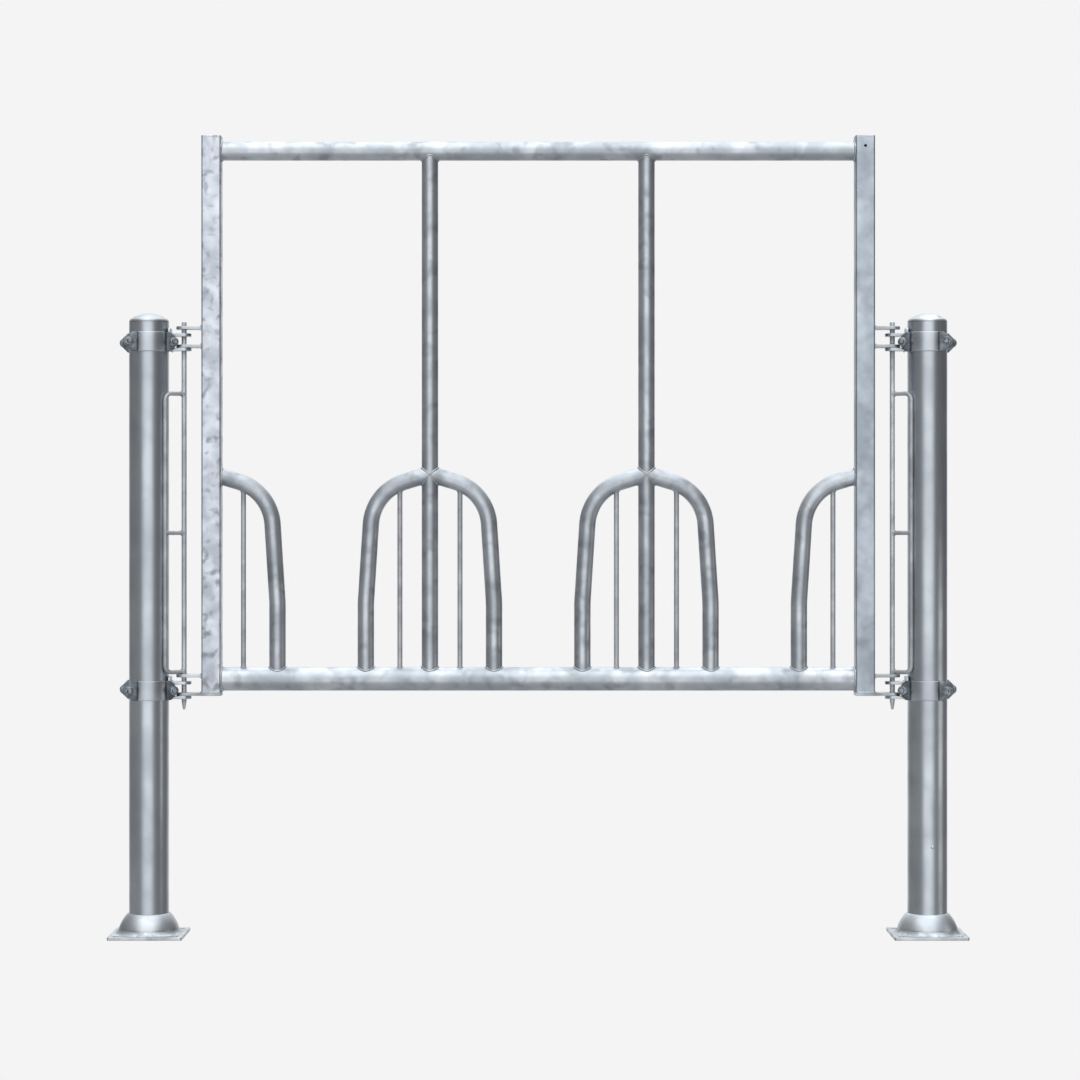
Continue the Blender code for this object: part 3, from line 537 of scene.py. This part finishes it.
for name, (radius, height) in RAILS.items():
    ends = [(-INNER_FACE - SUNK, height), (INNER_FACE + SUNK, height)]
    work = swept(ends, [], radius, 64)
    rings = []
    for end in (-1, 1):
        hoop = circle((0, height), radius + RAIL_BEAD_RISE, 72)
        rings.append(([(end * (INNER_FACE - BEAD_OFF_FACE), y, z) for y, z in hoop], True))
    add_beads(work, rings, RAIL_BEAD)
    add_piece(name, work, "panel", "tube_zinc", tube_zinc, weld_zinc)


# Dividers. Two 42.4 mm tubes between the rails part the three head bays. Their ends are notched
# to sit on the rails and welded all round.
DIVIDER_X = 0.2782
TUBE_RADIUS = 0.0212
DIVIDER_BEAD = 0.0021
BEAD_RISE = 0.0006


def saddle(radius, carrier, rise=BEAD_RISE, count=64):
    """Line in which an upright bar about Z meets a level bar along X, a little proud for a bead."""
    line = []
    for x, y in circle((0, 0), radius + rise, count):
        line.append((x, y, math.sqrt(max(0, (carrier + rise) ** 2 - y**2))))
    return line


low_radius, low = RAILS["bottom_rail"]
high_radius, high = RAILS["top_rail"]
for side, sign in SIDES.items():
    x = sign * DIVIDER_X
    work = swept([(x, low), (x, high)], [], TUBE_RADIUS)
    lower = [(x + dx, dy, low + dz) for dx, dy, dz in saddle(TUBE_RADIUS, low_radius)]
    upper = [(x + dx, dy, high - dz) for dx, dy, dz in saddle(TUBE_RADIUS, high_radius)]
    add_beads(work, [(lower, True), (upper, True)], DIVIDER_BEAD)
    add_piece(side + "_divider", work, "panel", "tube_zinc", tube_zinc, weld_zinc)


# Half arches. Six lengths of the same 42.4 mm tube, bent once to a tight shoulder and eased near
# the foot, welded to an upright or divider at the head and to the bottom rail at the foot.
ARCH_REACH = 0.1435
ARCH_HEAD = 0.520
ARCH_SLOPE = math.radians(17.0)
ARCH_SPLAY = math.radians(3.6)
ARCH_KINK = 0.195
SHOULDER_BEND = 0.122
KINK_BEND = 0.300
ARCH_BEAD = 0.0020


def stood(work, place, facing):
    """Moves a body that was made facing +X to its place, mirrored where it faces the other way."""
    stand = Matrix.Translation(place) @ Matrix.Diagonal((facing, 1, 1, 1))
    bmesh.ops.transform(work, matrix=stand, verts=work.verts)


leg_rise = ARCH_HEAD - math.tan(ARCH_SLOPE) * ARCH_REACH - ARCH_KINK
leg_rise /= 1 - math.tan(ARCH_SLOPE) * math.tan(ARCH_SPLAY)
shoulder = (ARCH_REACH - leg_rise * math.tan(ARCH_SPLAY), ARCH_KINK + leg_rise)
arches = {}
for side, sign in SIDES.items():
    arches[side + "_upright"] = (sign * INNER_FACE, -sign, 0.001)
    for hand, facing in SIDES.items():
        face = sign * DIVIDER_X + facing * TUBE_RADIUS
        arches[side + "_divider_" + hand] = (face, facing, TUBE_RADIUS)
for name, (face, facing, overrun) in arches.items():
    start = (-overrun, ARCH_HEAD + math.tan(ARCH_SLOPE) * overrun)
    corners = [start, shoulder, (ARCH_REACH, ARCH_KINK), (ARCH_REACH, 0)]
    work = swept(corners, [SHOULDER_BEND, KINK_BEND], TUBE_RADIUS)
    foot = [(ARCH_REACH + dx, dy, dz) for dx, dy, dz in saddle(TUBE_RADIUS, low_radius)]
    head = []
    for across, along in circle((0, 0), TUBE_RADIUS + BEAD_RISE, 64):
        flush = BEAD_OFF_FACE
        if overrun == TUBE_RADIUS:
            flush = math.sqrt(max(0, (TUBE_RADIUS + BEAD_RISE) ** 2 - across**2)) - TUBE_RADIUS
        run = (flush - along * math.sin(ARCH_SLOPE)) / math.cos(ARCH_SLOPE)
        rise = along * math.cos(ARCH_SLOPE) - run * math.sin(ARCH_SLOPE)
        head.append((flush, across, ARCH_HEAD + rise))
    add_beads(work, [(foot, True), (head, True)], ARCH_BEAD)
    stood(work, (face, 0, low), facing)
    add_piece(name + "_arch", work, "panel", "tube_zinc", tube_zinc, weld_zinc)


# Thin bars. A 13 mm round bar stands inside each half arch, 56 mm from its upright or divider, so
# that no hoof goes through. It is tacked round at both ends.
BAR_RADIUS = 0.0065
BAR_OFFSET = 0.056
BAR_BEAD = 0.0015
BAR_BEAD_RISE = 0.0004
SLOPE_OVER_BAR = math.radians(22.5)

# Gives thin bars an even, flatter grey
wire_zinc = galvanised(
    "hot-dip galvanised bar", "#d4d6d8", "#b8bbbe", 50, (30, 30, 160), 0.15, 0.60, 0.70
)

bar_top = ARCH_HEAD - math.tan(ARCH_SLOPE) * BAR_OFFSET - 0.0005
for name, (face, facing, _) in arches.items():
    work = swept([(BAR_OFFSET, 0), (BAR_OFFSET, bar_top)], [], BAR_RADIUS, 32)
    hoop = saddle(BAR_RADIUS, low_radius, BAR_BEAD_RISE, 24)
    foot = [(BAR_OFFSET + dx, dy, dz) for dx, dy, dz in hoop]
    head = []
    for dx, dy in circle((0, 0), BAR_RADIUS + BAR_BEAD_RISE, 24):
        under = math.sqrt((TUBE_RADIUS + BAR_BEAD_RISE) ** 2 - dy**2) / math.cos(SLOPE_OVER_BAR)
        head.append((BAR_OFFSET + dx, dy, bar_top - math.tan(SLOPE_OVER_BAR) * dx - under))
    add_beads(work, [(foot, True), (head, True)], BAR_BEAD)
    stood(work, (face, 0, low), facing)
    add_piece(name + "_bar", work, "panel", "wire_zinc", wire_zinc, weld_zinc)


# Hinge lugs. Flat bar 40 x 8 mm with a round end and a 15 mm hole for the locking rod, two at each
# hinge, welded on above and below. The lowest on each side runs on under the upright as its foot.
LUG_REACH = 0.0466
LUG_HALF = 0.020
LUG_THICKNESS = 0.008
LUG_BEAD = 0.0022
LUG_BEAD_X = 0.0014
ROD_HOLE = 0.0075
FOOT_RUN = 0.050
FOOT_SHOULDER = 0.008
LUG_LEVELS = {
    "foot": PANEL_FOOT,
    "lower_top": PANEL_FOOT + 0.047,
    "upper_bottom": PANEL_FOOT + 0.893,
    "upper_top": PANEL_FOOT + 0.940,
}


def between(start, end, step=0.0022):
    """Evenly spaced points on a straight run, for a bead."""
    start, end = Vector(start), Vector(end)
    count = max(2, round((end - start).length / step))
    return [start.lerp(end, n / count) for n in range(count + 1)]


def tongue(start, tip, half_width):
    """Outline of a flat bar from x = start to its round end about x = tip."""
    return [(start, -half_width)] + arc((tip, 0), half_width, -90, 90, 24) + [(start, half_width)]


for side, sign in SIDES.items():
    for name, level in LUG_LEVELS.items():
        outline = tongue(SEAM_GAP, LUG_REACH, LUG_HALF)
        runs = [-BEAD_RISE, LUG_THICKNESS + BEAD_RISE]
        if name == "foot":
            outline = [(-FOOT_RUN, -UPRIGHT_HALF), (0, -UPRIGHT_HALF)]
            outline += tongue(FOOT_SHOULDER, LUG_REACH, LUG_HALF)
            outline += [(0, UPRIGHT_HALF), (-FOOT_RUN, UPRIGHT_HALF)]
            runs = runs[1:]
        work = plate([outline, circle((LUG_REACH, 0), ROD_HOLE, 40)], LUG_THICKNESS)
        beads = []
        for z in runs:
            run = between((LUG_BEAD_X, -LUG_HALF, z), (LUG_BEAD_X, LUG_HALF, z))
            beads.append((run, False))
        add_beads(work, beads, LUG_BEAD)
        stood(work, (sign * (UPRIGHT_X + UPRIGHT_HALF), 0, level), sign)
        add_piece(f"{side}_{name}_lug", work, "panel", "plate_zinc", plate_zinc, weld_zinc)


# Clamps. Two halves pressed from 6 x 50 mm strip grip the post; their ears taper to round tips.
# Each clamp is turned a little towards the panel, and its front half carries the fork: a back
# plate, through which a bolt passes, and two 8 mm prongs that the lugs drop on to.
CLAMP_LEVELS = {"lower": 0.6312, "upper": 1.5242}
CLAMP_TURN = 16.0
BAND_RADIUS = 0.0541
STRIP_HALF = 0.025
STRIP_HALF_THICKNESS = 0.003
STRIP_EDGE = 0.0015
EAR_MIDDLE = 0.039
EAR_BEND = 0.008
EAR_TIP = 0.0115
EAR_TAPER = 45
# How far in from the ear's bend the ears' painted shade reaches
EAR_PAINTED_SHADE_RUN = 0.006
BOLT_OFFSET = 0.0575
BOLT_HOLE = 0.00675
FORK_HALF = 0.019
BACK_PLATE = (-0.025, FORK_HALF, -0.0225, 0.036)
BACK_CORNER = 0.006
BACK_THICKNESS = 0.006
BACK_EDGE = 0.001
BACK_FACE = 0.0513
BACK_SEAM = (0.0575, -0.0205)
BACK_SEAM_RUN = (-0.020, 0.024)
FORK_PITCH = 0.037
FORK_BEAD = 0.0020
PRONG_ROOT = 0.0555
PRONG_SEAM = 0.0583
PRONG_SEAM_RISE = 0.0044
PRONG_THICKNESS = 0.008
ROD_OFFSET = 0.090


def pressed_half(painted_shade_finish):
    """Rear half of a clamp about the post's axis: strip run from one ear tip round to the other.
    The ears get the finish of that number, which paints shade on them."""
    work = bmesh.new()
    thick, tall = STRIP_HALF_THICKNESS, STRIP_HALF
    corners = ((-thick, -tall), (thick, -tall), (thick, tall), (-thick, tall))
    end = [work.verts.new((0, y, z)) for y, z in corners]
    work.faces.new(end)
    bmesh.ops.bevel(
        work, geom=end, offset=STRIP_EDGE, segments=3, profile=0.5, affect="VERTICES",
        material=-1,
    )
    ring = work.edges[:]
    bend_y = EAR_MIDDLE + EAR_BEND
    bend_x = math.sqrt((BAND_RADIUS + EAR_BEND) ** 2 - bend_y**2)
    turn_in = math.degrees(math.atan2(bend_y, bend_x))
    ear = [(BOLT_OFFSET + x, z) for x, z in arc((0, 0), EAR_TIP, 4, EAR_TAPER, 6)]
    full_height_x = BOLT_OFFSET + EAR_TIP / math.sin(math.radians(EAR_TAPER)) - STRIP_HALF
    ear += [(full_height_x, STRIP_HALF), (bend_x, STRIP_HALF)]
    path = [(x, EAR_MIDDLE, 90.0, half) for x, half in ear]
    for n in range(1, 7):
        turn = -90 - (90 - turn_in) * n / 6
        path.append((*on_circle((bend_x, bend_y), EAR_BEND, turn), turn + 180, STRIP_HALF))
    for n in range(1, 19):
        bearing = turn_in + (90 - turn_in) * n / 18
        path.append((*on_circle((0, 0), BAND_RADIUS, bearing), bearing, STRIP_HALF))
    path += [(-x, y, 180 - turn, half) for x, y, turn, half in path[-2::-1]]
    before = None
    for x, y, turn, half in path:
        here = Matrix.Translation((x, y, 0)) @ Matrix.Rotation(math.radians(turn - 90), 4, "Z")
        here = here @ Matrix.Diagonal((1, 1, half / STRIP_HALF, 1))
        if before is None:
            bmesh.ops.transform(work, matrix=here, verts=work.verts)
        else:
            moved, ring = drawn_on(work, ring)
            bmesh.ops.transform(work, matrix=here @ before.inverted(), verts=moved)
        before = here
    close_ends(work)
    # The ears' faces take the finish that paints shade on them
    for face in work.faces:
        if abs(face.calc_center_median().x) > bend_x - EAR_PAINTED_SHADE_RUN:
            face.material_index = painted_shade_finish
    return work


# Gives the ears of the clamps a dull skin whose dark colour is painted shade, the dark their
# surroundings cast into them
ear_painted_shade_zinc = galvanised(
    "galvanised ear with painted shade", "#8b9297", "#5f666b", 24, (20, 20, 20), 0.3, 0.36, 0.48
)

back_outline = rectangle(*BACK_PLATE, BACK_CORNER)
prong_outlines = [tongue(PRONG_ROOT, ROD_OFFSET, FORK_HALF), circle((ROD_OFFSET, 0), ROD_HOLE, 40)]
grips = {}
for side, sign in SIDES.items():
    facing = -sign
    turn = Matrix.Rotation(math.radians(facing * CLAMP_TURN), 4, "Z")
    for hinge, level in CLAMP_LEVELS.items():
        centre = Matrix.Translation((sign * POST_X, 0, level))
        grips[side, hinge] = centre @ turn
        # The rear half's ears take finish 1, the painted shade
        rear = pressed_half(1)
        bmesh.ops.transform(rear, matrix=centre @ turn, verts=rear.verts)
        zincs = (post_zinc, ear_painted_shade_zinc)
        add_piece(f"{side}_{hinge}_clamp_rear_half", rear, "panel", "post_zinc", *zincs)

        # The front half's ears take finish 2, the painted shade
        front = pressed_half(2)
        half_turn = Matrix.Rotation(math.pi, 4, "Z")
        bmesh.ops.transform(front, matrix=turn @ half_turn, verts=front.verts)
        back = plate([back_outline], BACK_THICKNESS, BACK_EDGE)
        stand = ((0, 0, facing, facing * BACK_FACE), (1, 0, 0, 0), (0, 1, 0, 0), (0, 0, 0, 1))
        bmesh.ops.transform(back, matrix=Matrix(stand), verts=back.verts)
        bolt_way = turn @ Matrix.Translation((facing * BOLT_OFFSET, 0, 0))
        bolt_way = bolt_way @ Matrix.Rotation(math.radians(90), 4, "X")
        add_to(front, drilled(back, BOLT_HOLE, 0.120, (0, 0, 0), bolt_way), Matrix())
        beads = []
        for middle in (-FORK_PITCH / 2, FORK_PITCH / 2):
            prong = plate(prong_outlines, PRONG_THICKNESS)
            lay = Matrix.Translation((0, 0, middle - PRONG_THICKNESS / 2))
            add_to(front, prong, lay @ Matrix.Diagonal((facing, 1, 1, 1)))
            for z in (middle - PRONG_SEAM_RISE, middle + PRONG_SEAM_RISE):
                x, y = facing * PRONG_SEAM, FORK_HALF - 0.001
                beads.append((between((x, -y, z), (x, y, z)), False))
        x, y = facing * BACK_SEAM[0], BACK_SEAM[1]
        foot, head = ((x, y, z) for z in BACK_SEAM_RUN)
        beads.append((between(foot, head), False))
        add_beads(front, beads, FORK_BEAD)
        bmesh.ops.transform(front, matrix=centre, verts=front.verts)
        zincs = (post_zinc, weld_zinc, ear_painted_shade_zinc)
        add_piece(f"{side}_{hinge}_clamp_front_half", front, "panel", "post_zinc", *zincs)


# Clamp bolts and nuts. M12 bolts go through the ears from behind, so the nuts and thread ends are
# at the front. Each head and nut has its washer. All are galvanised, duller than the clamps.
WASHER_FACE = 0.0423
WASHER_THICKNESS = 0.0025
WASHER_RADIUS = 0.012
WASHER_BORE = 0.0067
WASHER_EDGE = 0.0004
HEX_FACE = WASHER_FACE + WASHER_THICKNESS
HEX_HALF = 0.0095
HEX_CROWN = 0.0091
HEX_LAY = 17
INNER_LAY = 40
BOLT_OVERRUN = 0.015
HEAD_HEIGHT = 0.0075
NUT_HEIGHT = 0.010
NUT_BORE = 0.0063
NUT_EDGE = 0.0006
SHANK_RADIUS = 0.006
SHANK_LENGTH = 2 * HEX_FACE + BOLT_OVERRUN
THREAD_LENGTH = 0.030
THREAD_PITCH = 0.0017
THREAD_ROOT = 0.0053


def hexagon(height, bore):
    """Hexagon along Z from 0 to height, its far corners turned off, open down the middle for a
    nut."""
    work = bmesh.new()
    bmesh.ops.create_circle(work, segments=72, radius=1.0)
    for vert in work.verts:
        bearing = math.atan2(vert.co.y, vert.co.x)
        flat = math.remainder(bearing - math.pi / 6, math.pi / 3)
        vert.co *= HEX_HALF / math.cos(flat)

    def corners_off(co):
        turned_off = max(0.0, co.xy.length - HEX_CROWN) * math.tan(math.radians(30))
        return Vector((co.x, co.y, height - turned_off))

    def at(radius, z):
        return lambda co: Vector((*(co.xy.normalized() * radius), z))

    shapes = [corners_off, at(HEX_CROWN, height)]
    if bore:
        shapes += [at(bore + NUT_EDGE, height), at(bore, height - NUT_EDGE), at(bore, 0)]
    first = ring = work.edges[:]
    for shape in shapes:
        moved, ring = drawn_on(work, ring)
        for vert in moved:
            vert.co = shape(vert.co)
    if bore:
        bmesh.ops.bridge_loops(work, edges=first + ring)
    else:
        close_ends(work)
    return work


def washer():
    """Washer about Z with its face at 0."""
    rim = [
        (WASHER_BORE, 0),
        (WASHER_RADIUS - WASHER_EDGE, 0),
        (WASHER_RADIUS, WASHER_EDGE),
        (WASHER_RADIUS, WASHER_THICKNESS - WASHER_EDGE),
        (WASHER_RADIUS - WASHER_EDGE, WASHER_THICKNESS),
        (WASHER_BORE, WASHER_THICKNESS),
        (WASHER_BORE, 0),
    ]
    return turned(rim, (0, 0, 0), 48)


def bolt_shank():
    """Shank along Z from the head's face at 0, its M12 thread cut as rings."""
    thread_start = SHANK_LENGTH - THREAD_LENGTH
    line = [(0, 0), (SHANK_RADIUS, 0), (SHANK_RADIUS, thread_start)]
    for n in range(int(THREAD_LENGTH / THREAD_PITCH)):
        start = thread_start + n * THREAD_PITCH
        line += [(SHANK_RADIUS, start + 0.0002), (THREAD_ROOT, start + 0.0008)]
        line += [(SHANK_RADIUS, start + 0.0015)]
    line += [(0.0052, SHANK_LENGTH), (0, SHANK_LENGTH)]
    return turned(line, (0, 0, 0), 48)


# Gives fasteners a satin grey, a shade darker than the clamps
fastener_zinc = galvanised(
    "galvanised fastener", "#a4abb0", "#747b80", 14, (14, 14, 14), 0.3, 0.24, 0.38
)

to_front = Matrix.Rotation(math.radians(90), 4, "X")
to_rear = Matrix.Rotation(math.radians(-90), 4, "X")
on_washer = Matrix.Translation((0, 0, HEX_FACE))
for (side, hinge), grip in grips.items():
    sign = SIDES[side]
    for hand, offset in {"inner": -sign * BOLT_OFFSET, "outer": sign * BOLT_OFFSET}.items():
        ear = grip @ Matrix.Translation((offset, 0, 0))
        lay = HEX_LAY * sign + INNER_LAY * (hand == "inner")
        lay = Matrix.Rotation(math.radians(lay), 4, "Z")
        name = f"{side}_{hinge}_clamp_{hand}"

        bolt = bmesh.new()
        add_to(bolt, washer(), ear @ to_rear @ Matrix.Translation((0, 0, WASHER_FACE)))
        add_to(bolt, hexagon(HEAD_HEIGHT, 0), ear @ to_rear @ on_washer @ lay)
        add_to(bolt, bolt_shank(), ear @ to_front @ Matrix.Translation((0, 0, -HEX_FACE)))
        add_piece(name + "_bolt", bolt, "panel", "fastener_zinc", fastener_zinc)

        nut = bmesh.new()
        add_to(nut, washer(), ear @ to_front @ Matrix.Translation((0, 0, WASHER_FACE)))
        add_to(nut, hexagon(NUT_HEIGHT, NUT_BORE), ear @ to_front @ on_washer @ lay)
        add_piece(name + "_nut", nut, "panel", "fastener_zinc", fastener_zinc)


# Locking rods. A 13 mm rod at each side drops through every lug and fork; its lower end is tapered.
# The gap guard welded to it is bent 11 mm wire with a middle rung, and leans on the post. A drip of
# zinc hangs under its lowest wire.
ROD_RADIUS = 0.0065
ROD_TIP = 0.581
ROD_TOP = 1.576
WIRE_RADIUS = 0.0055
GUARD_LOW = 0.6778
GUARD_HEIGHT = 0.714
GUARD_REACH = 0.055
GUARD_BEND = 0.018
GUARD_BEAD = 0.0018
GUARD_BEAD_RISE = 0.0005
GUARD_FINISH = 2
DRIP_X = 0.017
DRIP_DROP = 0.0062
DRIP_SIZE = (0.0021, 0.0021, 0.0042)

# Gives the rods a flat grey; their lighter tone than the wire of their guards is painted light, the
# light falling on them from the side
rod_painted_light_zinc = galvanised(
    "galvanised rod with painted light", "#e5e7e9", "#c8cbce", 50, (30, 30, 160), 0.15, 0.60, 0.70
)

against_post = POST_RADIUS + WIRE_RADIUS + SEAM_GAP
spread = ROD_OFFSET**2 + GUARD_REACH**2 - against_post**2
lean_angle = math.degrees(math.acos(spread / (2 * ROD_OFFSET * GUARD_REACH)))
guard_high = GUARD_LOW + GUARD_HEIGHT
guard_middle = GUARD_LOW + GUARD_HEIGHT / 2
for side, sign in SIDES.items():
    rod_x = sign * (POST_X - ROD_OFFSET)
    line = [
        (0, ROD_TOP),
        (ROD_RADIUS - 0.0015, ROD_TOP),
        (ROD_RADIUS - 0.0004, ROD_TOP - 0.0004),
        (ROD_RADIUS, ROD_TOP - 0.0015),
        (ROD_RADIUS, ROD_TIP + 0.023),
        (ROD_RADIUS - 0.0002, ROD_TIP + 0.021),
        (0.0032, ROD_TIP + 0.0012),
        (0.0026, ROD_TIP + 0.0003),
        (0.0018, ROD_TIP),
        (0, ROD_TIP),
    ]
    work = turned(line, (rod_x, 0, 0), 48)
    turn = -lean_angle if sign > 0 else lean_angle - 180
    stand = Matrix.Translation((rod_x, 0, 0)) @ Matrix.Rotation(math.radians(turn), 4, "Z")
    corners = [(0, guard_high), (GUARD_REACH, guard_high), (GUARD_REACH, GUARD_LOW), (0, GUARD_LOW)]
    guard = swept(corners, [GUARD_BEND, GUARD_BEND], WIRE_RADIUS, 32)
    rung = swept([(0, guard_middle), (GUARD_REACH, guard_middle)], [], WIRE_RADIUS, 32)
    add_to(work, guard, stand, GUARD_FINISH)
    add_to(work, rung, stand, GUARD_FINISH)
    rings = []
    for z in (GUARD_LOW, guard_middle, guard_high):
        hoop = saddle(WIRE_RADIUS, ROD_RADIUS, GUARD_BEAD_RISE, 28)
        rings.append(([stand @ Vector((dz, dy, z + dx)) for dx, dy, dz in hoop], True))
    hoop = [
        stand @ Vector((GUARD_REACH - dz, dy, guard_middle + dx))
        for dx, dy, dz in saddle(WIRE_RADIUS, WIRE_RADIUS, GUARD_BEAD_RISE, 28)
    ]
    add_beads(work, rings + [(hoop, True)], GUARD_BEAD)
    drip = Matrix.Translation((DRIP_X, 0, GUARD_LOW - DRIP_DROP)) @ Matrix.Diagonal((*DRIP_SIZE, 1))
    bmesh.ops.create_uvsphere(work, u_segments=16, v_segments=10, radius=1.0, matrix=stand @ drip)
    # The rod takes the finish with painted light; the guard and rung take the wire's own finish
    zincs = (rod_painted_light_zinc, weld_zinc, wire_zinc)
    add_piece(side + "_locking_rod", work, side + "_rod", "wire_zinc", *zincs)


# Studio. A pale floor and backdrop of one tone. The zinc mirrors upright soft lights behind the
# camera and behind the barrier, a broad light overhead, a little light off the floor, grey walls of
# which the right one is darker, and a low lamp at the right.
PALE = "#f4f4f4"
FLOOR_HALF = 40
WALL_LIGHT = 0.24
LAMP_PLACE = (2.44, -0.43, 0.33)
LAMP_BEARING = 73

scene = bpy.context.scene
scene.view_settings.view_transform = "Standard"

work = bmesh.new()
bmesh.ops.create_grid(work, x_segments=1, y_segments=1, size=FLOOR_HALF)
floor_mesh = bpy.data.meshes.new("studio_floor")
work.to_mesh(floor_mesh)
work.free()
floor_paint = bpy.data.materials.new("pale studio floor")
floor_paint.use_nodes = True
floor_tree = floor_paint.node_tree
floor_tree.nodes.clear()
glow = add_node(floor_tree, "Emission", {}, {"Color": linear(PALE), "Strength": 1.0})
add_node(floor_tree, "OutputMaterial", {}, {"Surface": glow["Emission"]})
floor_mesh.materials.append(floor_paint)
floor = bpy.data.objects.new("studio_floor", floor_mesh)
scene.collection.objects.link(floor)
floor.location.z = -0.0005
floor.visible_glossy = False
floor.visible_diffuse = False

world = bpy.data.worlds.new("studio")
scene.world = world
world.use_nodes = True
sky = world.node_tree
sky.nodes.clear()
backdrop = add_node(sky, "Background", {}, {"Color": linear(PALE), "Strength": 1.0})
way = add_node(sky, "TexCoord", {}, {})["Generated"]
toward = add_node(sky, "SeparateXYZ", {}, {"Vector": way})
rise, aside = toward["Z"], toward["X"]
off_middle = add_node(sky, "Math", {"operation": "ABSOLUTE"}, {0: aside})["Value"]
ahead = add_node(sky, "Math", {"operation": "MULTIPLY"}, {0: toward["Y"], 1: -1.0})["Value"]
bearing = add_node(sky, "Math", {"operation": "ARCTAN2"}, {0: aside, 1: ahead})["Value"]


def soft_light(*fades):
    """Light that is full only where all of its fades are. Each fade is (value, start, end, level)
    and rises softly from nothing to its level as the value goes from start to end."""
    light = 1.0
    for value, start, end, level in fades:
        fade = {"Value": value, "From Min": start, "From Max": end, "To Max": level}
        fade = add_node(sky, "MapRange", {"interpolation_type": "SMOOTHSTEP"}, fade)["Result"]
        light = add_node(sky, "Math", {"operation": "MULTIPLY"}, {0: light, 1: fade})["Value"]
    return light


def upright_light(middle, half_width, level):
    """Upright light about a bearing in degrees, 0 being behind the camera and 90 to the right."""
    around = {0: bearing, 1: math.radians(middle)}
    around = add_node(sky, "Math", {"operation": "SUBTRACT"}, around)["Value"]
    around = add_node(sky, "Math", {"operation": "COSINE"}, {0: around})["Value"]
    dark, lit = (math.cos(math.radians(half_width * share)) for share in (1.6, 0.4))
    low_end, high_end = (rise, -0.60, -0.20, 1.0), (rise, 0.85, 0.10, 1.0)
    return soft_light(low_end, high_end, (around, dark, lit, level))


overhead = soft_light((rise, 0.12, 0.95, 1.65), (off_middle, 0.85, 0.20, 1.0))
upper_walls = soft_light((rise, 0.05, 0.60, 0.14))
off_floor = soft_light((rise, 0.05, -0.45, 0.28))
right_wall = soft_light((aside, 0.30, 0.95, -0.10))
behind_camera = upright_light(-1, 25, 0.88)
behind_barrier = upright_light(180, 30, 0.55)
light = WALL_LIGHT
for part in (overhead, upper_walls, off_floor, right_wall, behind_camera, behind_barrier):
    light = add_node(sky, "Math", {"operation": "ADD"}, {0: light, 1: part})["Value"]
mirrored = add_node(sky, "Background", {}, {"Color": linear("#f8fbff"), "Strength": light})
seen = add_node(sky, "LightPath", {}, {})["Is Camera Ray"]
mixed = {0: seen, 1: mirrored["Background"], 2: backdrop["Background"]}
mixed = add_node(sky, "MixShader", {}, mixed)
add_node(sky, "OutputWorld", {}, {"Surface": mixed["Shader"]})

low_light = bpy.data.lights.new("low lamp", "AREA")
low_light.shape = "RECTANGLE"
low_light.size, low_light.size_y = 0.7, 1.1
low_light.energy = 1.6
lamp = bpy.data.objects.new("low lamp", low_light)
lamp.location = LAMP_PLACE
lamp.rotation_euler = (math.radians(90), 0, math.radians(LAMP_BEARING))
lamp.visible_camera = False
scene.collection.objects.link(lamp)


# Camera. Level, 7.4 m in front of the barrier and half way up it, with a long lens, its axis just
# right of the middle.
eye = bpy.data.cameras.new("camera")
eye.sensor_width = 36
eye.lens = 95.98
eye.shift_y = -0.0139
camera = bpy.data.objects.new("camera", eye)
camera.location = (0.0046, -7.4, 1.055)
camera.rotation_euler = (math.radians(90), 0, 0)
scene.collection.objects.link(camera)
scene.camera = camera
